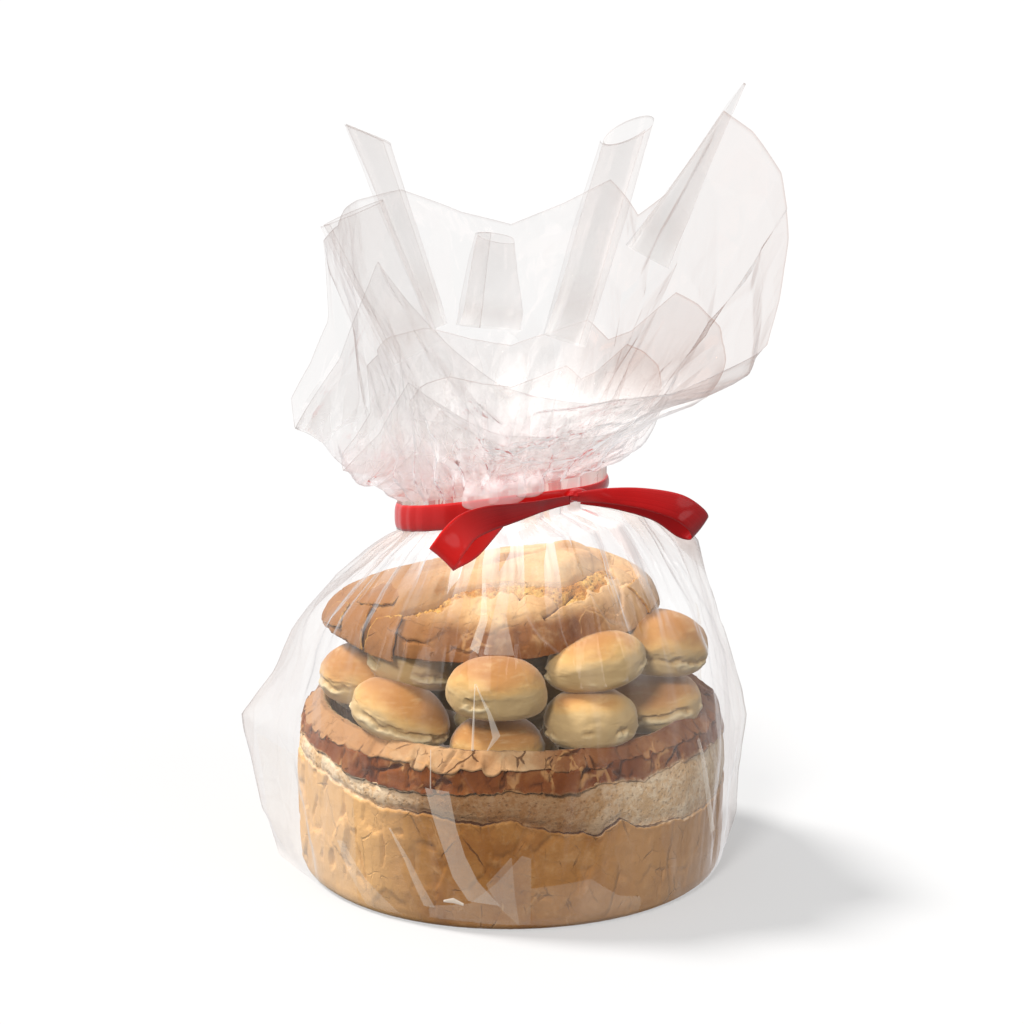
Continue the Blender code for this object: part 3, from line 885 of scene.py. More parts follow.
def build_lid(finish, relief):
    """The lid: a dome of crust, torn across the front, over a hollowed cut face."""
    angles = round_axis(LID_COLUMNS)[0]
    edge = 1 + wander(angles, 21, (2, 3, 5, 9), 0.008) + jagged(angles, 22, (31, 53, 97, 160), 0.0040)
    across = np.cos(angles) * LID_HALF[0] * edge
    deep = np.sin(angles) * LID_HALF[1] * edge
    rows = []
    for rho in (0.03, 0.3, 0.6, 0.82, 0.94):
        x, y = across * rho, deep * rho
        hollow = LID_HOLLOW * (1 - rho**4)
        rows.append((x, y, lid_plane(x, y) + hollow, np.ones_like(x), np.full_like(x, rho)))
    for share in np.linspace(0, 1, LID_ROWS):
        rho = max(math.cos(share * math.pi / 2) ** LID_ROUNDNESS, LID_TIP)
        x, y = across * rho, deep * rho
        rows.append((x, y, lid_plane(x, y) + lid_dome(x, y, rho), np.zeros_like(x), np.full_like(x, rho)))
    x, y, z, crumb, rho = (np.array([row[i] for row in rows]) for i in range(5))
    top = crumb < 0.5
    crack, along = path_field(x, y, LID_CRACK)
    ends = fade(along, 0.0, 0.10) * (1 - fade(along, 0.93, 1.0))
    lip_width = np.interp(along, (0, 0.2, 0.5, 0.75, 1.0), (0.003, 0.006, 0.012, 0.015, 0.011))
    lip_width = lip_width * (1 + 0.35 * saw(along * 13.7) * saw(along * 5.3 + 0.2))
    lip = fade(-crack, 0.0002, 0.0016) * (1 - fade(-crack, lip_width - 0.0012, lip_width)) * ends
    groove = (1 - fade(np.abs(crack + 0.0003), 0.0003, 0.0016)) * ends
    roll = np.where(crack > 0, (1 - fade(crack, 0.0, 0.011)) ** 2, 0) * ends
    side_crack, side_along = path_field(x, y, LID_SIDE_CRACK)
    side_ends = np.where((side_along > 0) & (side_along < 1), 1.0, 0.0)
    side_groove = (1 - fade(np.abs(side_crack), 0.0004, 0.0020)) * side_ends
    crease, crease_along = path_field(x, y, LID_CREASE)
    crease_ends = np.where((crease_along > 0) & (crease_along < 1), fade(crease_along, 0, 0.2), 0)
    valley = (1 - fade(np.abs(crease), 0.0, 0.0060)) ** 1.5 * crease_ends
    fold_line = (1 - fade(np.abs(crease), 0.0002, 0.0011)) * crease_ends
    swell = fade(crack, -0.001, 0.012) * (1 - fade(crack, 0.026, 0.048)) * ends
    shelf = fade(crease, 0.0, 0.004) * (1 - fade(crease, 0.010, 0.024)) * crease_ends
    height = -0.0062 * groove - 0.0022 * lip - 0.0022 * roll - 0.0028 * side_groove
    height = height - 0.0036 * valley + 0.0048 * swell + 0.0030 * shelf
    height = height * top * fade(1 - rho, 0.0, 0.05)
    left = fade(-x, 0.030, 0.075) * fade(-crack + 0.010 - y * 0.3, 0.0, 0.02)
    fields = {
        "crumb": crumb,
        "groove": np.maximum(np.maximum(groove * 1.1, side_groove * 0.7), fold_line * 0.75) * top,
        "torn": lip * top,
        "bevel": fade(z - lid_plane(x, y), 0.008, 0.030) * top,
        "plates": (mix(0.35, 1.0, left) * top) * (1 - lip) * fade(1 - rho, 0.0, 0.02),
        "rough": np.where(top, 0.35 + 3.6 * lip + 2.4 * side_groove, 1.8),
        "lumps": top,
    }
    grid = np.stack([x + LID_MIDDLE[0], y + LID_MIDDLE[1], z + height], -1)
    lid = turned_piece("lid", grid, fields)
    run_tree(
        lid,
        relief,
        finish,
        lump_size=0.034,
        lump_height=0.0014,
        plate_size=0.026,
        plate_tip=0.0024,
        upright=1.0,
        crack_width=0.0018,
        crack_depth=0.0015,
        grain_size=0.0032,
        grain_height=0.00055,
    )
    return lid


def lid_point(angle, share):
    """A place on the lid's dome, without its relief, and the way out of it."""
    turn = np.maximum(share, 0) * math.pi / 2
    rho = np.cos(turn) ** LID_ROUNDNESS
    x, y = np.cos(angle) * LID_HALF[0] * rho, np.sin(angle) * LID_HALF[1] * rho
    dome = lid_dome(x, y, rho) + np.minimum(share, 0) * 0.024
    out = np.stack([np.cos(angle) * np.cos(turn), np.sin(angle) * np.cos(turn), np.sin(turn) + 0.15], -1)
    place = np.stack([x + LID_MIDDLE[0], y + LID_MIDDLE[1], lid_plane(x, y) + dome], -1)
    return place, out / np.linalg.norm(out, axis=-1)[..., None]


def build_flakes(finish, relief):
    """Plates of crust that broke loose on the lid and stand off it along one edge."""
    flakes = []
    angles = round_axis(FLAKE_COLUMNS)[0]
    square = 1 / np.maximum(np.abs(np.cos(angles)), np.abs(np.sin(angles))) ** FLAKE_SQUARENESS
    rim = np.array(FLAKE_REACH)[::-1, None] == 1.0
    fields = {"crumb": 0.0, "groove": 0.0, "torn": 0.75 * rim, "bevel": 0.25}
    fields |= {"plates": 0.0, "rough": 0.6, "lumps": 0.5}
    sizes = {"lump_size": 0.012, "lump_height": 0.0008, "plate_size": 0.02, "plate_tip": 0.0}
    sizes |= {"upright": 1.0, "crack_width": 0.001, "crack_depth": 0.0}
    sizes |= {"grain_size": 0.0032, "grain_height": 0.00045}
    for index, (corners, lift) in enumerate(LID_FLAKES, 1):
        ragged = 1 + jagged(angles, 40 + index, (7, 12, 19), 0.035)
        rows = []
        for rho, depth in zip(FLAKE_REACH, FLAKE_DEPTH):
            half = 0.5 * rho * ragged * square
            across, up = 0.5 + half * np.cos(angles), 0.5 + half * np.sin(angles)
            turned, share = over_patch(np.array(corners)[..., None], across, up)
            place, out = lid_point(np.radians(turned), share)
            bowl = 0.0007 * (across * 2 - 1) ** 2
            stand = over_patch(lift, across, up) + bowl - depth * FLAKE_THICKNESS
            rows.append(place + out * stand[:, None])
        flake = turned_piece(f"lid_flake_{index}", np.array(rows)[::-1], fields)
        flakes.append(run_tree(flake, relief, finish, **sizes))
    return flakes


def bun_tree():
    """A mini bun: a ball flattened below and domed above, pinched where its dough was folded under."""
    net, given = geometry_tree(
        "mini_bun", ("Width", "Depth", "Height", "Pinch", "Seam Height", "Bake", "Seed", "Fineness")
    )
    fineness = net.put("FunctionNodeFloatToInt", 0, {0: given["Fineness"]})
    mesh = net.put("GeometryNodeMeshIcoSphere", 0, {"Radius": 1.0, "Subdivisions": fineness})
    place = net.put("GeometryNodeInputPosition")
    x, y, z = net.parts(place)
    seed = given["Seed"]
    drawn = net.vector("ADD", place, net.point(seed * 3.1, seed * 1.7, seed * 5.3))

    def bell(off, sharpness):
        """1 on a line and less the farther off it."""
        return net.math("EXPONENT", off * off * -sharpness)

    bottom = (1 - net.math("POWER", 1 - net.math("ABSOLUTE", z), 2.1)) * -0.46
    top = net.math("POWER", net.math("MAXIMUM", z, 0.0), 1.12) * 0.56
    height = net.blend(net.step(z, -0.05, 0.05), bottom, top) * given["Height"]
    flat = net.vector("LENGTH", net.point(x, y, 0.0))
    boxy = net.blend(net.step(z, -0.25, 0.30), -0.34, -0.12)
    fuller = net.math("POWER", net.math("MAXIMUM", flat, 0.0001), boxy)
    uneven = 1 + (net.noise(drawn, 0.9, 2.0) - 0.5) * 0.20
    seam = z + 0.10 - given["Seam Height"] + (net.noise(drawn, 2.4, 3.0, 0.6) - 0.5) * 0.55
    side = net.step(net.noise(drawn, 1.3, 1.0), 0.47, 0.56)
    fold = bell(seam, 260.0) * side
    lip = bell(seam + 0.11, 70.0) * side
    wrinkle = (net.noise(net.vector("MULTIPLY", drawn, (1.0, 1.0, 2.2)), 5.0, 4.0, 0.65) - 0.5) * side
    push = 1 - given["Pinch"] * fold + 0.045 * lip + 0.12 * wrinkle * bell(seam, 14.0)
    dimple = (net.noise(drawn, 3.2, 3.0, 0.5) - 0.5) * 0.045
    out = fuller * uneven * 0.5 * (push + dimple)
    shaped = net.point(x * given["Width"] * out, y * given["Depth"] * out, height)
    height_share = z + given["Bake"] + (net.noise(drawn, 1.5, 4.0, 0.55) - 0.5) * 0.80
    mesh = net.store(mesh, "browning", net.step(height_share, -0.18, 0.86))
    mesh = net.store(mesh, "fold", fold)
    mesh = net.store(mesh, "lip", lip * (1 - fold))
    mesh = net.put("GeometryNodeSetPosition", 0, {"Geometry": mesh, "Position": shaped})
    return close_tree(net, mesh, given["Finish"])


def build_bun(name, tree, finish, place, size, turn, tilt_side, tilt_front, bake, seed, fineness):
    bun = mesh_piece(name, [(0, 0, 0)], [])
    run_tree(
        bun,
        tree,
        finish,
        width=size[0],
        depth=size[1],
        height=size[2],
        pinch=0.10,
        seam_height=0.05 * math.sin(seed * 2.3),
        bake=float(bake),
        seed=float(seed),
        fineness=float(fineness),
    )
    lean = Euler([math.radians(a) for a in (tilt_front, tilt_side, turn)], "XYZ")
    turned = lean.to_matrix().to_4x4()
    turned.translation = Vector(place)
    bun.data.transform(turned)
    bun.data.update()
    return bun


def heap_places():
    """Places and turns of the buns that the lid, the rim and the front ones hide, in both layers."""
    places = []

    def add(reach, height, angle, turn):
        places.append(((reach * math.cos(angle), reach * math.sin(angle), height), turn))

    for degrees in (24, 62, 99, 137, 172):
        add(*BACK_LOW, math.radians(degrees), degrees + 90)
    for degrees in (38, 78, 117, 152):
        angle = math.radians(degrees)
        reach, height = BACK_HIGH
        add(reach, height + LID_LEAN_RIGHT * reach * math.cos(angle), angle, degrees + 90)
    for degrees in (-100, 20, 140):
        angle = math.radians(degrees)
        add(*CORE_LOW, angle, degrees)
        add(*CORE_HIGH, angle + 1, degrees + 40)
    for step in range(8):
        angle = step / 8 * TAU + 0.2
        add(FLOOR_REACH, FLOOR_HEIGHT, angle, math.degrees(angle))
    add(0.0, FLOOR_HEIGHT, 0.0, 15)
    return places


def build_buns(tree, finish):
    buns = []
    for seed, (name, sizes) in enumerate(BUNS.items(), 1):
        buns.append(build_bun(name, tree, finish, *sizes, seed, FINE_BUN))
    for seed, (place, turn) in enumerate(heap_places(), 20):
        name = f"bun_behind_{seed - 19:02d}"
        buns.append(build_bun(name, tree, finish, place, BUN_SIZE, turn, 0, 0, 0.0, seed, PLAIN_BUN))
    return buns


# Film.


def angle_between(a, b):
    return np.abs((a - b + math.pi) % TAU - math.pi)


def pleat(angles):
    """1 on a ridge of the gathered film and -1 in a valley, unevenly wide."""
    return saw(PLEATS * angles / TAU + 0.30 * np.sin(3 * angles + 0.8) + 0.16 * np.sin(8 * angles + 2.1))


def fine_pleat(angles, seed=0.0):
    wavering = 1.1 * np.sin(5 * angles + 0.4 + seed) + 0.9 * np.sin(13 * angles + 1.9 * seed)
    return saw(FINE_PLEATS * angles / TAU + wavering) * (0.6 + 0.4 * np.sin(31 * angles + seed))


def near_neck(height):
    """1 at the height of the neck, fading to 0 below it and above it."""
    end = np.where(height < NECK_Z, NECK_FADES_BELOW, NECK_FADES_ABOVE)
    return 1 - fade(np.abs(height - NECK_Z), NECK_HALF_HEIGHT, end)


def at_reach(angles, reach, height, axis_x=0.0):
    """Points that far from the axis in plan, with the neck's flatness and its lean."""
    near = near_neck(height)
    x = axis_x + reach * np.cos(angles)
    y = reach * np.sin(angles) * mix(1, NECK_DEPTH_SHARE, near)
    rise = NECK_RISE_RIGHT * (x - NECK_X) - NECK_RISE_FRONT * y
    return np.stack(np.broadcast_arrays(x, y, height + near * rise), -1)


def fold_reach(angles, girth, fold_at, fold):
    """Reach of film that lies on a circle and runs straight from it to a fold that stands out."""
    touch = np.arccos(np.minimum(1.0, girth / fold))
    off = angle_between(angles, fold_at)
    return np.where(off < touch, girth / np.cos(touch - off), girth)


def body_points(angles, height):
    girth, left, right = (np.interp(height, *pair) for pair in station_columns())
    reach = np.maximum(fold_reach(angles, girth, math.pi, left), fold_reach(angles, girth, 0.0, right))
    gather = fade(height, DRAPE_FADES_AT, BAG_STATIONS[-1][0])
    reach = reach + DRAPE_DEPTH * gather * pleat(angles)
    reach = reach + FINE_DEPTH * fade(height, 0.150, 0.210) * fine_pleat(angles)
    return at_reach(angles, reach, height)


def station_columns():
    stations = np.array(BAG_STATIONS)
    return [(stations[:, 0], stations[:, column]) for column in (1, 2, 3)]


def neck_points(angles, up):
    reach = NECK_RADIUS + NECK_DEPTH * pleat(angles) + FINE_DEPTH * fine_pleat(angles)
    return at_reach(angles, reach, NECK_Z + up, NECK_X)


def sheet_faces(rows, columns, first=0):
    """Four-sided faces between the points of an open sheet."""
    row, column = np.meshgrid(np.arange(rows - 1), np.arange(columns - 1), indexing="ij")
    corner = first + row * columns + column
    return np.stack([corner, corner + 1, corner + columns + 1, corner + columns], -1).reshape(-1, 4)


def sheet_piece(name, grid, fields, closes=False):
    """A sheet from a grid of points, open or closed round an axis."""
    rows, columns = grid.shape[:2]
    faces = ring_faces(rows, columns) if closes else sheet_faces(rows, columns).tolist()
    flat = {field: np.broadcast_to(v, (rows, columns)).reshape(-1) for field, v in fields.items()}
    return mesh_piece(name, grid.reshape(-1, 3), faces, flat)


def build_film_body(finish, crinkle):
    """The sealed part of the bag, from under the loaf up its sides to the gathered neck."""
    angles = round_axis(BAG_COLUMNS)
    foot = np.array([0.04, 0.3, 0.6, 0.85, 0.96])[:, None, None]
    under = body_points(angles, np.full((1, 1), BAG_FOOT)) * foot
    under[..., 2] = BAG_FOOT
    side = body_points(angles, row_values(BAG_ROWS, BAG_FOOT, BAG_STATIONS[-1][0]))
    share = np.linspace(0, 1, NECK_ROWS)[1:-1, None, None]
    gathered = mix(side[-1:], neck_points(angles, np.full((1, 1), -NECK_HALF_HEIGHT)), share)
    neck = neck_points(angles, row_values(NECK_ROWS, -NECK_HALF_HEIGHT, NECK_HALF_HEIGHT))
    grid = np.vstack([under, side, gathered, neck])
    height = grid[..., 2]
    free = fade(height, 0.002, 0.03) * (1 - fade(height, 0.200, 0.215))
    corner = np.maximum(1 - angle_between(angles, math.pi) / 0.7, 1 - angle_between(angles, 0.0) / 0.6)
    corner = np.clip(corner, 0, 1)
    gather = fade(height, 0.176, 0.222)
    fields = {
        "along": angles * BAG_REACH,
        "up": height,
        "loose": free * (0.50 + 1.3 * corner + 0.5 * fade(height, 0.11, 0.16)),
        "crush": free * (0.35 + 0.5 * corner + 1.1 * fade(height, 0.15, 0.19)),
        "haze": 0.004 + 0.34 * gather + 0.03 * corner,
        "edge": 0.0,
        "grey": 0.36 * corner,
        "ribbon_reflection": 0.35 * gather,
        "foot": 1 - fade(height, 0.001, 0.012),
    }
    body = turned_piece("film_body", grid, fields, open_top=True)
    sizes = {"facet_size": 0.036, "facet_tilt": 0.11, "crease_size": 0.011, "crease_tilt": 0.10}
    return run_tree(body, crinkle, finish, stretch=2.6, seed=1.0, **sizes)


def build_tucks_and_glints(finish, crinkle):
    """Narrow strips of doubled film on the bag, with crisp edges. Two of them are painted glints."""
    vertices, faces, strips, first = [], [], [], 0
    across = column_values(9)
    side = np.clip(1 - np.minimum(across, 1 - across) * 16, 0, 1)
    for milk, *stations in TUCKS_AND_GLINTS:
        count = len(stations)
        steps = row_values(12 * count, 0, count - 1)
        edges = [np.interp(steps, range(count), column) for column in np.array(stations).T]
        angle = np.radians(mix(edges[0], edges[2], across))
        height = mix(edges[1], edges[3], across)
        out = np.stack([np.cos(angle), np.sin(angle), 0 * angle], -1)
        stand = 0.0009 + 0.0003 * np.sin(np.pi * across)
        vertices.append((body_points(angle, height) + out * stand[..., None]).reshape(-1, 3))
        faces += sheet_faces(*angle.shape, first)[:, [0, 3, 2, 1]].tolist()
        first += angle.size
        values = {
            "along": angle * BAG_REACH,
            "up": height,
            "loose": 0.3,
            "crush": 0.3,
            "haze": milk,
            "edge": 0.3 * milk * side,
            "grey": 0.0,
            "ribbon_reflection": 0.0,
            "foot": 1 - fade(height, 0.004, 0.016),
        }
        strips.append({name: np.broadcast_to(v, angle.shape).reshape(-1) for name, v in values.items()})
    fields = {name: np.concatenate([strip[name] for strip in strips]) for name in strips[0]}
    tucks = mesh_piece("film_tucks_and_glints", np.vstack(vertices), faces, fields)
    sizes = {"facet_size": 0.030, "facet_tilt": 0.05, "crease_size": 0.008, "crease_tilt": 0.03}
    return run_tree(tucks, crinkle, finish, stretch=3.0, seed=4.0, **sizes)


def ruffle_points(angles, share, hem_share, reach_share, turn):
    """Points of the loose film above the tie, from 0 at the neck to 1 at the hem."""
    table = np.array(HEM)
    degrees = np.degrees(angles)
    hem_reach = np.interp(degrees, table[:, 0], table[:, 1], period=360) * reach_share
    hem_height = np.interp(degrees, table[:, 0], table[:, 2], period=360)
    start = NECK_Z + NECK_HALF_HEIGHT
    hem_height = start + (hem_height - start) * hem_share
    depth = mix(NECK_DEPTH, RUFFLE_DEPTH, fade(share, 0, 0.22))
    depth = mix(depth, HEM_DEPTH, fade(share, 0.14, 0.42))
    fine = FINE_DEPTH * (1 + 0.8 * fade(share, 0, 0.08)) * (1 - fade(share, 0.03, 0.14))
    reach = mix(NECK_RADIUS * mix(reach_share, 1, 0.4), hem_reach, share**RUFFLE_OUT)
    reach = reach + depth * pleat(angles + turn) + fine * fine_pleat(angles, turn * 7)
    return at_reach(angles, reach, mix(start, hem_height, share), mix(NECK_X, 0, share))


def build_ruffle(name, finish, crinkle, columns, rows, seed, hem_share, reach_share, turn, crush):
    """A ring of loose film that stands up from the tie."""
    angles = round_axis(columns)
    share = row_values(rows)
    grid = ruffle_points(angles, share, hem_share, reach_share, turn)
    climb = grid[..., 2] - (NECK_Z + NECK_HALF_HEIGHT)
    dense = 1 - fade(climb, 0.030, 0.085)
    inner = fade(share, 0.0, 0.10)
    rightward = 1 - fade(angle_between(angles, 0.0), math.radians(35), math.radians(70))
    fields = {
        "along": angles * RUFFLE_REACH + seed,
        "up": share * 0.19 * hem_share,
        "loose": inner * mix(1.0, 0.75, dense) * (1 - 0.75 * fade(share, 0.86, 1.0)),
        "crush": crush * inner * mix(0.10, 1.0, dense) * (1 - 0.9 * fade(share, 0.30, 0.75)),
        "haze": 0.014 + 0.30 * dense * (1 - 0.35 * fade(climb, 0.0, 0.03)),
        "edge": 0.8 * fade(share, 0.990, 1.0),
        "grey": (1 - 0.95 * dense) * (0.65 + 0.55 * rightward),
        "ribbon_reflection": 1 - fade(climb, 0.004, 0.045),
    }
    ruffle = sheet_piece(name, grid, fields, closes=True)
    sizes = {"facet_size": 0.056, "facet_tilt": 0.23, "crease_size": 0.0170, "crease_tilt": 0.21}
    return run_tree(ruffle, crinkle, finish, stretch=1.5, seed=seed, **sizes)


def build_roll(name, finish, crinkle, foot, top, foot_half, top_half, flatness, turns, cut):
    """A corner of the film rolled into a tube or a cone, with its top cut aslant."""
    foot, top = Vector(foot), Vector(top)
    line = (top - foot).normalized()
    side = line.cross(Vector((0, 1, 0))).normalized()
    front = side.cross(line).normalized()
    up, turned = row_values(90), column_values(150, 0, turns * TAU)
    lean = 1 + cut[0] * np.cos(turned) + cut[1] * np.sin(turned)
    climb = up * mix(1, lean, up)
    half = mix(foot_half, top_half, up) * (1 - 0.10 * turned / TAU)
    grid = np.array(foot) + np.array(top - foot) * climb[..., None]
    grid = grid + np.array(side) * (half * np.cos(turned))[..., None]
    grid = grid + np.array(front) * (half * flatness * np.sin(turned))[..., None]
    step = turned[0, 1]
    inner_end = fade(-turned, -step * 1.2, 0.0)
    outer_end = fade(turned, turned[0, -2] - step * 0.2, turns * TAU)
    fields = {
        "along": turned * 0.014 + foot.x,
        "up": up * 0.12,
        "loose": 0.5 * fade(up, 0.0, 0.2),
        "crush": 0.05 + 0.5 * (1 - fade(up, 0.0, 0.35)),
        "haze": 0.030 + 0.12 * (1 - fade(up, 0.0, 0.4)),
        "edge": 0.9 * np.maximum(fade(up, 0.988, 1.0), np.maximum(inner_end, outer_end)),
        "grey": mix(0.30, 0.62, up) * fade(up, 0.0, 0.2),
        "ribbon_reflection": 0.0,
    }
    roll = sheet_piece(name, grid, fields)
    sizes = {"facet_size": 0.034, "facet_tilt": 0.16, "crease_size": 0.012, "crease_tilt": 0.10}
    return run_tree(roll, crinkle, finish, stretch=3.0, seed=foot.x * 90, **sizes)


def build_lobes(finish, crinkle):
    """Small rounded lobes at the foot of the ruffle that hang out over the ribbon."""
    rows, columns = 26, 40
    down, across = row_values(rows), column_values(columns, -1)
    bulge = NECK_RADIUS + NECK_DEPTH + 0.0018 + LOBE_BULGE * np.sin(np.pi * (0.10 + 0.55 * down))
    sizes = {"facet_size": 0.014, "facet_tilt": 0.10, "crease_size": 0.006, "crease_tilt": 0.10}
    lobes = []
    for index, (middle, half, drop) in enumerate(LOBES, 1):
        angles = np.radians(middle + half * across * (0.75 + 0.25 * down))
        length = drop * np.sqrt(np.clip(1 - 0.85 * across**2, 0, 1))
        reach = bulge + 0.0012 * np.cos(4 * across + middle)
        height = NECK_Z + NECK_HALF_HEIGHT + LOBE_START - (length + LOBE_START) * down
        fields = {
            "along": column_values(columns, 0, 0.05) + index,
            "up": down * 0.02,
            "loose": 0.25,
            "crush": 0.15,
            "haze": 0.36 * fade(down, 0.05, 0.5),
            "edge": 0.7 * fade(down, 0.93, 1.0),
            "grey": 0.0,
            "ribbon_reflection": 1.0,
        }
        lobe = sheet_piece(f"film_lobe_{index}", at_reach(angles, reach, height, NECK_X), fields)
        lobes.append(run_tree(lobe, crinkle, finish, stretch=1.0, seed=index * 1.3, **sizes))
    return lobes


def film_crinkle():
    """Crumples a sheet of film: flat facets that meet in creases, at a large and a small size.

    The fields along and up are the flat sheet's own measures. loose says how far the large facets
    tilt at a place and crush how far the small ones do.
    """
    net, given = geometry_tree(
        "film_crinkle", ("Facet Size", "Facet Tilt", "Crease Size", "Crease Tilt", "Stretch", "Seed")
    )
    along, up, loose, crush = (named_field(net, name) for name in ("along", "up", "loose", "crush"))
    flat = net.point(along, up / given["Stretch"], given["Seed"])
    kept = net.store(given["Mesh"], "flat", net.point(along, up, given["Seed"]), "FLOAT_VECTOR")

    def facets(size):
        """Height of flat facets: the squared distances to two sets of points differ by planes."""
        moved = net.warped(flat, 0.6 / size, 0.10 * size)
        near = net.cells(net.vector("ADD", moved, (0.31, 0.17, 0.23)), 1 / size)
        other = net.cells(net.vector("ADD", moved, (7.7, 5.1, 3.9)), 1 / size)
        return (near * near - other * other) * size

    height = facets(given["Facet Size"]) * given["Facet Tilt"] * loose
    height = height + facets(given["Crease Size"]) * given["Crease Tilt"] * crush
    return close_tree(net, net.push_out(kept, height), given["Finish"])


# Ribbon.


def band_points(stations):
    """The middle, the direction across and the width of a length of ribbon along its stations."""
    middles = smooth_curve([at for at, _, _ in stations], RIBBON_STEPS)
    sides = [np.array(side) / np.linalg.norm(side) for _, side, _ in stations]
    sides = smooth_curve(sides, RIBBON_STEPS)
    widths = smooth_curve([(width,) for _, _, width in stations], RIBBON_STEPS)
    return middles, sides / np.linalg.norm(sides, axis=1)[:, None], widths


def band_grid(middles, sides, widths):
    """Points across a ribbon that bows a little over its width."""
    run = np.gradient(middles, axis=0)
    face = np.cross(run, sides)
    face = face / np.linalg.norm(face, axis=1)[:, None]
    across = column_values(RIBBON_POINTS, -1)[..., None]
    flat = middles[:, None] + sides[:, None] * (widths[:, None] / 2) * across
    return flat + face[:, None] * (RIBBON_CROWN * (1 - across**2))


def ring_grid():
    """The turn of ribbon round the neck, pinched narrow where it runs out of the knot."""
    angles = np.append(round_axis(RING_POINTS), TAU)[:, None]
    pinch = 1 - fade(angle_between(angles, PINCH_DIRECTION), 0, PINCH_ANGLE)
    half = mix(RIBBON_WIDTH, PINCHED_WIDTH, pinch) / 2
    across = column_values(RIBBON_POINTS, -1)
    reach = NECK_RADIUS + NECK_DEPTH + RIBBON_OUT + 0.0003 * pleat(angles) * (1 - pinch)
    reach = reach - 0.0012 * np.abs(across) ** 3
    grid = at_reach(angles, reach, np.full_like(angles, NECK_Z), NECK_X)
    grid[..., 2] += half * across
    return grid


def knot_grid():
    """The knot: a small pad of ribbon, wrapped aslant so that it shows folds."""
    centre = at_reach(KNOT_DIRECTION, NECK_RADIUS + NECK_DEPTH + KNOT_OUT, NECK_Z, NECK_X)
    up, turned = row_values(40, 0, math.pi), column_values(61, 0, TAU)
    folds = 1 + 0.10 * np.abs(np.sin(3 * turned + 2.0 * up)) + 0.05 * np.sin(7 * up + turned)
    x, y = np.sin(up) * np.cos(turned) * folds, np.sin(up) * np.sin(turned) * folds
    return centre + np.stack([x, y, np.cos(up) + 0 * turned], -1) * np.array(KNOT_SIZE)


def build_ribbon(finish):
    """The gift ribbon: its turn round the neck, its knot, and the two ends."""
    ends = [band_grid(*band_points(stations)) for stations in (RIBBON_TAIL, RIBBON_LOOP)]
    pieces = []
    for (name, shade_ends), grid in zip(RIBBON_SHADING.items(), [ring_grid(), *ends, knot_grid()]):
        rows, columns = grid.shape[:2]
        run = row_values(rows)
        # Painted shade and light along the length, kept as the field deep.
        deep = mix(*shade_ends, fade(run, 0.25, 0.50))
        fields = {"width": column_values(columns, -1), "run": run, "deep": deep}
        piece = sheet_piece(name, grid, fields)
        piece.data.materials.append(finish)
        if name != "ribbon_knot":
            thick = piece.modifiers.new("Thickness", "SOLIDIFY")
            thick.thickness = RIBBON_THICKNESS
            thick.offset = 0
        pieces.append(piece)
    return pieces


# Finishes.


def new_finish(name):
    finish = bpy.data.materials.new(name)
    finish.use_nodes = True
    net = Net(finish.node_tree)
    shader = finish.node_tree.nodes["Principled BSDF"]
    return finish, net, shader


def attribute(net, name, vector=False):
    return net.put("ShaderNodeAttribute", "Vector" if vector else "Fac", attribute_name=name)


def effect(name, inlets, outlets):
    """An empty shader group with named inlets and outlets, each given with its kind."""
    tree = bpy.data.node_groups.new(name, "ShaderNodeTree")
    for way, sockets in (("INPUT", inlets), ("OUTPUT", outlets)):
        for socket, kind in sockets.items():
            tree.interface.new_socket(socket, in_out=way, socket_type="NodeSocket" + kind)
    net = Net(tree)
    given = tree.nodes.new("NodeGroupInput")
    return net, {s.name: Flow(net, s) for s in given.outputs if s.name}


def close_effect(net, **values):
    """Ends a shader group with a value for each of its outlets."""
    gives = net.tree.nodes.new("NodeGroupOutput")
    for name, value in values.items():
        net.feed(gives.inputs[name], value)
    return net.tree


def place_effect(net, group, **values):
    """Places a shader group in a tree and returns its outlets by name."""
    node = net.tree.nodes.new("ShaderNodeGroup")
    node.node_tree = group
    for name, value in values.items():
        net.feed(node.inputs[name.replace("_", " ").title()], value)
    return {socket.name: Flow(net, socket) for socket in node.outputs}


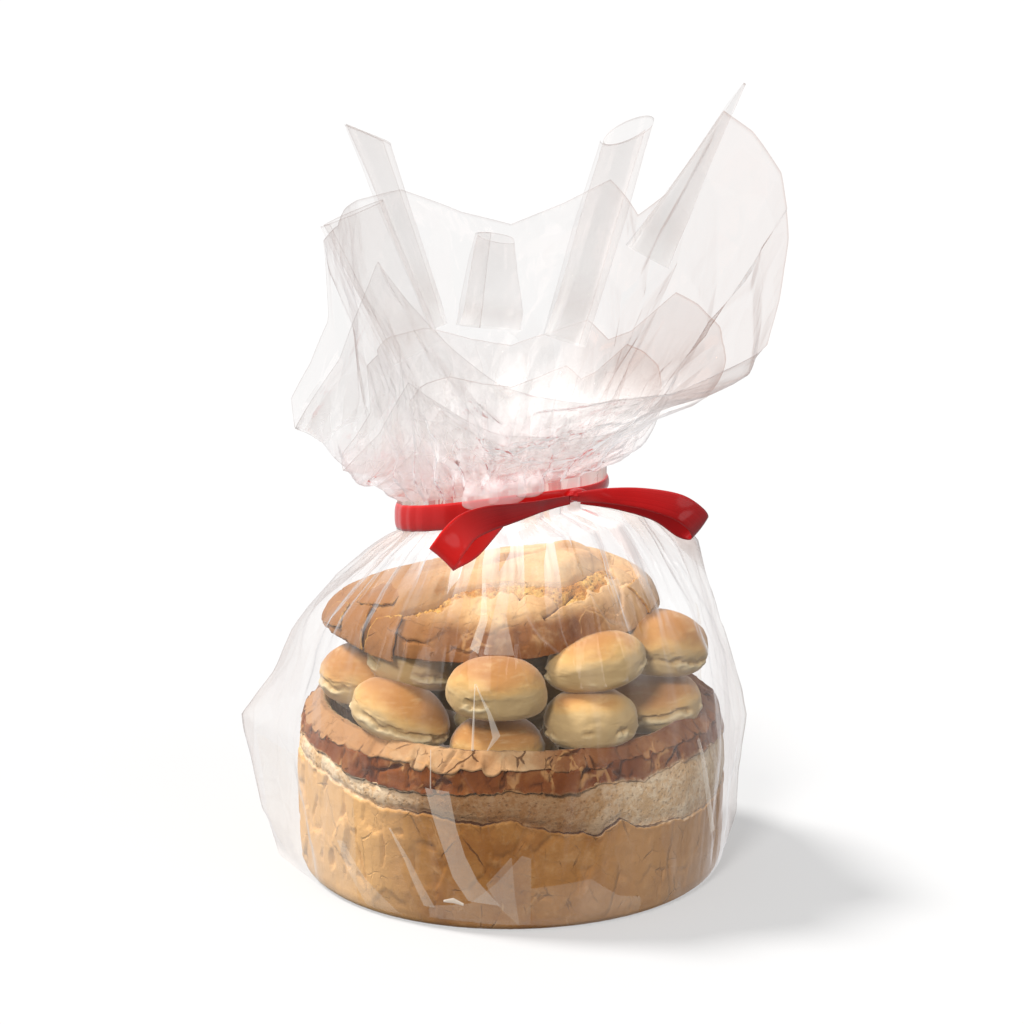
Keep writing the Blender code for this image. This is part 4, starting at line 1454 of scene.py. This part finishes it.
def baked_crust():
    """Baked crust: blotchy browning, plates parted by cracks darkened with painted shade, pale ridge lines
    of painted highlight, flour and specks.
    """
    inlets = {"Place": "Vector", "Dark": "Color", "Brown": "Color", "Light": "Color"}
    inlets |= dict.fromkeys(("Crack Size", "Upright", "Crack Width", "Cracked", "Flour"), "Float")
    net, given = effect("baked_crust", inlets, BREAD_LOOK)
    place = given["Place"]
    blotch = net.noise(place, 42.0, 5.0, 0.58)
    fine = net.noise(place, 420.0, 4.0, 0.65)
    medium = net.noise(place, 130.0, 4.0, 0.60)
    colour = net.tint(net.step(blotch, 0.34, 0.52), given["Dark"], given["Brown"])
    colour = net.tint(net.step(blotch + (medium - 0.5) * 0.5, 0.50, 0.72), colour, given["Light"])
    flour = net.step(medium + (fine - 0.5) * 0.8, 0.50, 0.78) * given["Flour"]
    colour = net.tint(flour, colour, shade(220, 184, 136))
    squashed = net.vector("MULTIPLY", place, net.point(1.0, 1.0, 1 / given["Upright"]))
    crack, tone = plate_cracks(net, squashed, given["Crack Size"], given["Crack Width"])
    broken = net.step(net.noise(place, 33.0, 2.0), 0.40, 0.56)
    crack = crack * broken * given["Cracked"]
    small, _ = plate_cracks(net, squashed, given["Crack Size"] * 0.42, given["Crack Width"] * 0.6)
    small = small * net.step(net.noise(place, 47.0, 2.0), 0.50, 0.62) * given["Cracked"]
    # Painted highlight: pale lines along raised ridges of the crust.
    ridge_highlights, _ = plate_cracks(net, squashed, given["Crack Size"] * 0.75, given["Crack Width"] * 1.3)
    ridge_highlights = ridge_highlights * net.step(net.noise(place, 39.0, 3.0), 0.46, 0.60) * 0.55
    colour = net.tint(net.parts(tone)[1] * 0.22, colour, given["Dark"])
    colour = net.tint(ridge_highlights, colour, shade(212, 160, 104))
    chosen = net.step(net.parts(net.cells(place, 150.0, "F1", "Color"))[0], 0.90, 0.93)
    speck = (1 - net.step(net.cells(place, 150.0), 0.05, 0.13)) * chosen
    # The cracks take painted shade; the specks are dark bits of crust.
    dark = net.math("MAXIMUM", crack * 0.85, net.math("MAXIMUM", small * 0.6, speck * 0.7))
    colour = net.tint(dark, colour, shade(74, 38, 20))
    height = (fine - 0.5) * 0.28 + (medium - 0.5) * 0.5 - crack * 0.7 - small * 0.4 + ridge_highlights * 0.25
    return close_effect(net, Colour=colour, Rough=0.58 + (fine - 0.5) * 0.3 + flour * 0.3, Height=height)


def torn_crumb():
    """Torn or burst dough: a grainy floury face with small pits darkened with painted shade."""
    inlets = {"Place": "Vector", "Deep": "Color", "Pale": "Color", "Grain": "Float"}
    net, given = effect("torn_crumb", inlets, BREAD_LOOK)
    place = given["Place"]
    broad = net.noise(place, 55.0, 4.0, 0.6)
    grains = net.noise(place, 330.0, 5.0, 0.72)
    pits = net.cells(net.warped(place, 300.0, 0.001), 330.0)
    colour = net.tint(net.step(broad + (grains - 0.5) * 0.9, 0.36, 0.66), given["Deep"], given["Pale"])
    # Painted shade in the pits.
    pit = 1 - net.step(pits, 0.10, 0.40)
    colour = net.tint(pit * 0.30 * given["Grain"], colour, shade(140, 92, 52))
    height = ((grains - 0.5) * 1.1 - pit * 0.35 + (broad - 0.5) * 0.6) * given["Grain"]
    return close_effect(net, Colour=colour, Rough=0.78 + (grains - 0.5) * 0.2, Height=height)


def lay_over(net, share, under, over):
    """One effect's colour, roughness and height laid over another's by a mask."""
    return {
        "Colour": net.tint(share, under["Colour"], over["Colour"]),
        "Rough": net.blend(share, under["Rough"], over["Rough"]),
        "Height": net.blend(share, under["Height"], over["Height"]),
    }


def stain(net, look, share, colour):
    """Tints a look's colour by a mask."""
    look["Colour"] = net.tint(share, look["Colour"], colour)


def set_bump(net, shader, height, distance, strength):
    relief = net.put("ShaderNodeBump", 0, {"Height": height, "Distance": distance, "Strength": strength})
    net.feed(shader.inputs["Normal"], relief)
    return relief


def set_bread(net, shader, look):
    net.feed(shader.inputs["Base Color"], look["Colour"])
    net.feed(shader.inputs["Roughness"], look["Rough"])
    set_bump(net, shader, look["Height"], BREAD_BUMP, 0.9)
    shader.inputs["Specular IOR Level"].default_value = 0.05


def loaf_finish(crust, crumb):
    finish, net, shader = new_finish("loaf_crust")
    place = attribute(net, "dough", True)
    pale, right = attribute(net, "pale"), attribute(net, "right")
    brow = attribute(net, "shoulder")
    rim = attribute(net, "bevel") * (1 - right * 0.85)

    def tone(side, shoulder, bevel):
        return net.tint(rim, net.tint(brow, shade(*side), shade(*shoulder)), shade(*bevel))

    def amount(side, shoulder, bevel):
        return net.blend(rim, net.blend(brow, side, shoulder), bevel)

    look = place_effect(
        net, crust, place=place,
        dark=tone((160, 102, 45), (116, 60, 28), (174, 128, 86)),
        brown=tone((178, 121, 60), (136, 77, 37), (198, 154, 110)),
        light=tone((191, 135, 76), (156, 98, 52), (214, 178, 136)),
        crack_size=amount(0.027, 0.019, 0.019), crack_width=amount(0.0007, 0.0013, 0.0010),
        cracked=amount(0.7, 1.0, 0.9), upright=amount(1.4, 1.7, 1.0), flour=amount(0.16, 0.08, 0.20),
    )
    # Painted light: away from the front the lower crust is lightened, on the right partly a paler crust, on
    # the left where the key light falls. The bevel there turns a darker brown.
    low = (1 - brow) * (1 - rim)
    stain(net, look, low * pale * right * 0.45, shade(214, 160, 98))
    stain(net, look, low * pale * (1 - right) * 0.85, shade(240, 187, 121))
    stain(net, look, rim * pale * (1 - right) * 0.80, shade(178, 130, 88))
    # Where the crumb is cut, on the rim and down the hollow, it takes darker colours than the burst:
    # painted shade inside the hollow.
    cut = net.step(attribute(net, "crumb"), 0.3, 0.7)
    torn = place_effect(
        net, crumb, place=place, grain=1.0 + cut * 0.3,
        deep=net.tint(cut, shade(224, 182, 132), shade(196, 160, 108)),
        pale=net.tint(cut, shade(247, 220, 184), shade(220, 190, 140)),
    )
    # Painted shade: the burst is darkened at the front, under the overhang of the shoulder.
    torn["Colour"] = net.tint((1 - pale) * (1 - cut), torn["Colour"], shade(182, 158, 136), "MULTIPLY")
    reach = attribute(net, "soft")
    ragged = (net.noise(place, 210.0, 4.0, 0.6) - 0.5) * 2.2
    burst = net.step((attribute(net, "burst") + ragged * reach) / reach, -1.0, 1.0)
    look = lay_over(net, net.math("MAXIMUM", burst, cut), look, torn)
    # Painted shade: the grooves under the burst's edges and between the plates are darkened.
    groove = net.step(attribute(net, "groove") + (net.noise(place, 160.0, 2.0) - 0.5) * 0.5, 0.25, 0.8)
    stain(net, look, groove * 0.9, shade(70, 38, 22))
    set_bread(net, shader, look)
    return finish


def lid_finish(crust, crumb):
    finish, net, shader = new_finish("lid_crust")
    place = attribute(net, "dough", True)
    uneven = (net.noise(place, 50.0, 3.0) - 0.5) * 0.7
    # The lower sides take darker colours than the top: partly a browner crust, partly painted shade where
    # the front faces down.
    high = net.step(attribute(net, "bevel") + uneven, 0.2, 0.9)
    look = place_effect(
        net, crust, place=place,
        dark=net.tint(high, shade(119, 69, 33), shade(212, 160, 104)),
        brown=net.tint(high, shade(142, 88, 44), shade(232, 186, 130)),
        light=net.tint(high, shade(166, 114, 67), shade(242, 206, 155)),
        crack_size=net.blend(high, 0.026, 0.032), crack_width=net.blend(high, 0.0010, 0.0006),
        cracked=net.blend(high, 0.8, 0.35), flour=net.blend(high, 0.18, 0.35), upright=1.0,
    )
    # The right of the lid is lightened with painted light; the left is darkened, partly a browner crust and
    # partly painted shade against the key light there.
    right = net.step(net.parts(place)[0] + uneven * 0.02, 0.035, 0.080)
    left = net.step(uneven * 0.04 - net.parts(place)[0], 0.010, 0.065)
    stain(net, look, right * 0.75, shade(240, 194, 144))
    stain(net, look, left * 0.85, shade(160, 110, 66))
    ragged = (net.noise(place, 260.0, 4.0, 0.6) - 0.5) * 1.2
    cut = net.step(attribute(net, "crumb"), 0.3, 0.7)
    torn = place_effect(
        net, crumb, place=place, grain=1.8 - cut * 0.5,
        deep=net.tint(cut, shade(196, 130, 58), shade(218, 186, 132)),
        pale=net.tint(cut, shade(232, 182, 102), shade(238, 216, 170)),
    )
    open_dough = net.step(attribute(net, "torn") + ragged, 0.35, 0.65)
    look = lay_over(net, net.math("MAXIMUM", open_dough, cut), look, torn)
    # Painted shade: the torn crack, the side crack and the crease are darkened.
    groove = net.step(attribute(net, "groove") + (net.noise(place, 160.0, 2.0) - 0.5) * 0.4, 0.3, 0.8)
    stain(net, look, groove * 0.9, shade(78, 44, 24))
    set_bread(net, shader, look)
    return finish


def bun_finish():
    """Soft glazed bun: golden above, cream at the sides, whitish where the dough was folded."""
    finish, net, shader = new_finish("bun_crust")
    place = net.put("ShaderNodeTexCoord", "Object")
    blotch = net.noise(place, 60.0, 4.0, 0.55)
    fine = net.noise(place, 480.0, 4.0, 0.6)
    streak = net.noise(net.vector("MULTIPLY", place, (90.0, 90.0, 420.0)), 1.0, 4.0, 0.6)
    brown = attribute(net, "browning") + (blotch - 0.5) * 0.35
    colour = net.tint(net.step(brown, 0.10, 0.55), shade(206, 174, 124), shade(216, 172, 110))
    colour = net.tint(net.step(brown, 0.42, 0.90), colour, shade(197, 143, 86))
    colour = net.tint(net.step(brown, 0.80, 1.20) * 0.7, colour, shade(166, 106, 56))
    colour = net.tint(net.step(streak, 0.5, 0.8) * 0.25, colour, shade(238, 214, 164))
    colour = net.tint(attribute(net, "lip") * 0.6, colour, shade(236, 218, 178))
    # Painted shade along the crease of the fold.
    colour = net.tint(attribute(net, "fold") * 0.5, colour, shade(182, 144, 92))
    net.feed(shader.inputs["Base Color"], colour)
    rough = 0.46 + (fine - 0.5) * 0.18 + (1 - net.step(brown, 0.2, 0.8)) * 0.14
    net.feed(shader.inputs["Roughness"], rough)
    height = (fine - 0.5) * 0.16 + (streak - 0.5) * 0.12 + (blotch - 0.5) * 0.5
    set_bump(net, shader, height, 0.0009, 0.8)
    net.feed(shader.inputs["Coat Weight"], net.step(brown, 0.3, 0.9) * 0.08)
    shader.inputs["Coat Roughness"].default_value = 0.28
    shader.inputs["Specular IOR Level"].default_value = 0.12
    return finish


def film_wrinkles():
    """Wrinkles of clear film: flat facets of two sizes, milky ones among them, and fine lines."""
    inlets = {"Flat": "Vector", "Size": "Float", "Stretch": "Float", "Slant": "Float"}
    net, given = effect("film_wrinkles", inlets, dict.fromkeys(("Height", "Milk", "Lines"), "Float"))
    x, y, z = net.parts(given["Flat"])
    size = given["Size"]
    soft = net.noise(given["Flat"], 0.5 / size, 1.0, flat="2D") - 0.5

    def facets(cell, slant, stretch, shift):
        place = net.point(x + y * slant + soft * cell * 0.5 + shift + z, y / stretch, 0.0)
        near = net.cells(place, 1 / cell, flat="2D")
        other = net.cells(net.vector("ADD", place, (3.3, 1.7, 0.0)), 1 / cell, flat="2D")
        return place, (near * near - other * other) * cell

    wide, large = facets(size, given["Slant"], given["Stretch"], 0.0)
    narrow, small = facets(size * 0.38, given["Slant"] * -0.6, given["Stretch"] * 1.7, 0.37)
    milk = net.parts(net.cells(wide, 1 / size, "F1", "Color", flat="2D"))[0]
    dim = net.parts(net.cells(narrow, 2.6 / size, "F1", "Color", flat="2D"))[0]
    edge = net.cells(wide, 1 / size, "DISTANCE_TO_EDGE", flat="2D")
    thin = net.cells(narrow, 2.6 / size, "DISTANCE_TO_EDGE", flat="2D")
    lines = (1 - net.step(edge, 0.0, 0.030)) * net.step(soft, 0.00, 0.06)
    faint = (1 - net.step(thin, 0.0, 0.05)) * net.step(soft, -0.04, -0.10) * 0.7
    milky = net.step(milk, 0.66, 0.69) * 0.65 + net.step(dim, 0.70, 0.73) * 0.45
    height = (large + small * 0.8) / size
    return close_effect(net, Height=height, Milk=milky, Lines=net.math("MAXIMUM", lines, faint))


def film_finish(name, wrinkles, tone, shine, glow, milk):
    """Clear film: see-through face on, mirror-like at a slant, milky where it is crushed or double.

    The film's back has to mirror as its front does. The Fresnel node turns the index round there, so
    it is given turned round.
    """
    finish, net, shader = new_finish(name)
    behind = net.put("ShaderNodeNewGeometry", "Backfacing")
    facing = {"IOR": FILM_IOR - behind * (FILM_IOR - 1 / FILM_IOR)}
    haze, edge, grey = (attribute(net, field) for field in ("haze", "edge", "grey"))
    if name in FILM_WRINKLES:
        size, stretch, slant, tilt, lines = FILM_WRINKLES[name]
        crushed = net.math("MINIMUM", attribute(net, "crush"), 1.0)
        flat = attribute(net, "flat", True)
        look = place_effect(net, wrinkles, flat=flat, size=size, stretch=stretch, slant=slant)
        reach = (0.35 + crushed * 0.65) * (size * tilt)
        facing["Normal"] = set_bump(net, shader, look["Height"], reach, 1.0)
        haze = haze * (0.55 + look["Milk"] * milk) + look["Lines"] * crushed * lines
    else:
        haze = haze * (0.55 + PLAIN_MILK * milk)
    mirror = net.put("ShaderNodeFresnel", 0, facing) * shine
    mirror = net.math("MINIMUM", mirror, MOST_MIRROR) * (1 - attribute(net, "foot") * 0.9)
    haze = haze + edge * EDGE_HAZE + grey * GREY_HAZE
    mirrored = mirror / (mirror + haze)
    # Edges and grey parts take a dark brown veil: painted reflection of the darker room round the bag, with
    # some of the film's own tint.
    dark = net.math("MAXIMUM", edge, grey)
    # Painted reflection of the red ribbon: a pink tint near the neck.
    colour = net.tint(attribute(net, "ribbon_reflection") * 0.55, shade(*tone), shade(244, 214, 214))
    colour = net.tint(dark, colour, shade(150, 100, 74))
    lit = net.tint(dark, net.tint(mirrored, colour, BLACK), BLACK)
    net.feed(shader.inputs["Metallic"], mirrored)
    net.feed(shader.inputs["Alpha"], net.math("MINIMUM", mirror + haze, MOST_COVER))
    net.feed(shader.inputs["Base Color"], colour)
    net.feed(shader.inputs["Emission Color"], lit)
    shader.inputs["Emission Strength"].default_value = glow
    shader.inputs["Roughness"].default_value = FILM_ROUGHNESS
    return finish


def ribbon_finish():
    """Smooth gift ribbon, glossy red with faint lines along it, darkened and lightened by painted shade and
    light.
    """
    finish, net, shader = new_finish("ribbon_gloss")
    width, run = attribute(net, "width"), attribute(net, "run")
    lines = net.noise(net.point(width * 26, run * 1.5, 0.0), 1.0, 3.0, 0.6)
    patches = net.noise(net.put("ShaderNodeTexCoord", "Object"), 60.0, 3.0)
    # Painted shade and light: the field deep darkens the red on the band by the knot and the loop and
    # lightens it on the tail's curl.
    colour = net.tint(attribute(net, "deep"), shade(230, 36, 32), shade(150, 10, 14))
    colour = net.tint(net.step(patches, 0.35, 0.7) * 0.12, colour, shade(214, 38, 40))
    colour = net.tint(net.step(lines, 0.4, 0.7) * 0.35, colour, shade(214, 38, 40))
    net.feed(shader.inputs["Base Color"], colour)
    net.feed(shader.inputs["Roughness"], 0.24 + lines * 0.12)
    set_bump(net, shader, lines, 0.0003, 0.5)
    shader.inputs["Specular IOR Level"].default_value = 0.05
    shader.inputs["Coat Weight"].default_value = 0.5
    shader.inputs["Coat Roughness"].default_value = 0.10
    return finish


# The studio.


def set_up_camera():
    lens = bpy.data.cameras.new("camera")
    lens.lens = CAMERA_LENS
    lens.sensor_width = CAMERA_SENSOR
    lens.clip_end = CAMERA_SEES_TO
    camera = bpy.data.objects.new("camera", lens)
    camera.location = CAMERA_PLACE
    camera.rotation_euler = (CAMERA_PITCH, 0, 0)
    bpy.context.scene.collection.objects.link(camera)
    bpy.context.scene.camera = camera


def set_up_sun(name, direction, strength, angle):
    lamp = bpy.data.lights.new(name, "SUN")
    lamp.energy = strength
    lamp.angle = math.radians(angle)
    lamp.color = SUN_COLOUR
    sun = bpy.data.objects.new(name, lamp)
    sun.visible_glossy = False
    sun.rotation_euler = Vector(direction).to_track_quat("-Z", "Y").to_euler()
    bpy.context.scene.collection.objects.link(sun)


def set_up_light():
    for name, sun in SUNS.items():
        set_up_sun(name, *sun)
    world = bpy.data.worlds.new("studio")
    bpy.context.scene.world = world
    world.use_nodes = True
    net = Net(world.node_tree)
    backdrop = world.node_tree.nodes["Background"]
    rays = net.put("ShaderNodeLightPath").socket.node
    seen, mirrored = (Flow(net, rays.outputs[name]) for name in ("Is Camera Ray", "Is Glossy Ray"))
    way = net.put("ShaderNodeTexCoord", "Generated")
    toward = net.vector("DOT_PRODUCT", way, MIRRORED_FRONT_WAY)
    sky = net.blend(net.step(toward, 0.30, 0.88), MIRRORED_SKY, MIRRORED_FRONT)
    for direction, reach, strength in SOFT_BOXES:
        along = net.vector("DOT_PRODUCT", way, tuple(Vector(direction).normalized()))
        rim, middle = (math.cos(math.radians(off)) for off in (reach + SOFT_BOX_RIM, reach))
        sky = sky + net.step(along, rim, middle) * strength
    backdrop.inputs["Color"].default_value = SKY_COLOUR
    dome = net.blend(net.step(net.parts(way)[2], -0.30, 0.20), SKY_BELOW, SKY_STRENGTH)
    around = net.blend(mirrored, dome, sky)
    net.feed(backdrop.inputs["Strength"], net.blend(seen, around, 1.0))


def set_up_floor():
    bm = bmesh.new()
    bmesh.ops.create_grid(bm, x_segments=2, y_segments=2, size=FLOOR_HALF)
    mesh = bpy.data.meshes.new("floor")
    bm.to_mesh(mesh)
    bm.free()
    floor = bpy.data.objects.new("floor", mesh)
    bpy.context.scene.collection.objects.link(floor)
    finish, _, shader = new_finish("studio_floor")
    shader.inputs["Base Color"].default_value = FLOOR_COLOUR
    shader.inputs["Emission Color"].default_value = (1.0, 1.0, 1.0, 1)
    shader.inputs["Emission Strength"].default_value = FLOOR_GLOW
    shader.inputs["Roughness"].default_value = 0.9
    shader.inputs["Specular IOR Level"].default_value = 0.0
    mesh.materials.append(finish)
    floor.visible_diffuse = False
    floor.visible_glossy = False


def set_up_picture():
    scene = bpy.context.scene
    scene.view_settings.view_transform = "Standard"
    scene.view_settings.look = "None"
    scene.cycles.transparent_max_bounces = FILM_LAYERS
    scene.cycles.max_bounces = 4
    scene.cycles.glossy_bounces = 2
    scene.cycles.diffuse_bounces = 1


def belong(piece, slot, *nodes):
    """Lets a finished piece ride on the body and hides the solids it stands for; its slot says which rays
    see it.
    """
    if slot == "film":
        piece.visible_diffuse = False
    if slot in ("film", "ribbon"):
        piece.visible_shadow = False
    if slot != "ribbon":
        piece.visible_glossy = False
    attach(piece, "root")
    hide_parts(*nodes)


def main():
    set_up_camera()
    set_up_light()
    set_up_floor()
    set_up_picture()
    crust, crumb = baked_crust(), torn_crumb()
    relief = crust_relief()
    belong(build_loaf(loaf_finish(crust, crumb), relief), "crust", "bag")
    lid_look = lid_finish(crust, crumb)
    for piece in [build_lid(lid_look, relief), *build_flakes(lid_look, relief)]:
        belong(piece, "crust", "bag")
    for bun in build_buns(bun_tree(), bun_finish()):
        belong(bun, "bun", "bag")
    wrinkles, crinkle = film_wrinkles(), film_crinkle()
    film = {name: film_finish(name, wrinkles, *look) for name, look in FILM_LOOKS.items()}
    belong(build_film_body(film["film_wrapped"], crinkle), "film", "bag")
    belong(build_tucks_and_glints(film["film_doubled"], crinkle), "film", "bag")
    for name, (look, *sizes) in RUFFLES.items():
        belong(build_ruffle(name, film[look], crinkle, *sizes), "film", "bag")
    for name, sizes in ROLLS.items():
        belong(build_roll(name, film["film_clear"], crinkle, *sizes), "film", "bag")
    for lobe in build_lobes(film["film_inside"], crinkle):
        belong(lobe, "film", "bag")
    for piece in build_ribbon(ribbon_finish()):
        belong(piece, "ribbon", "ribbon")


main()
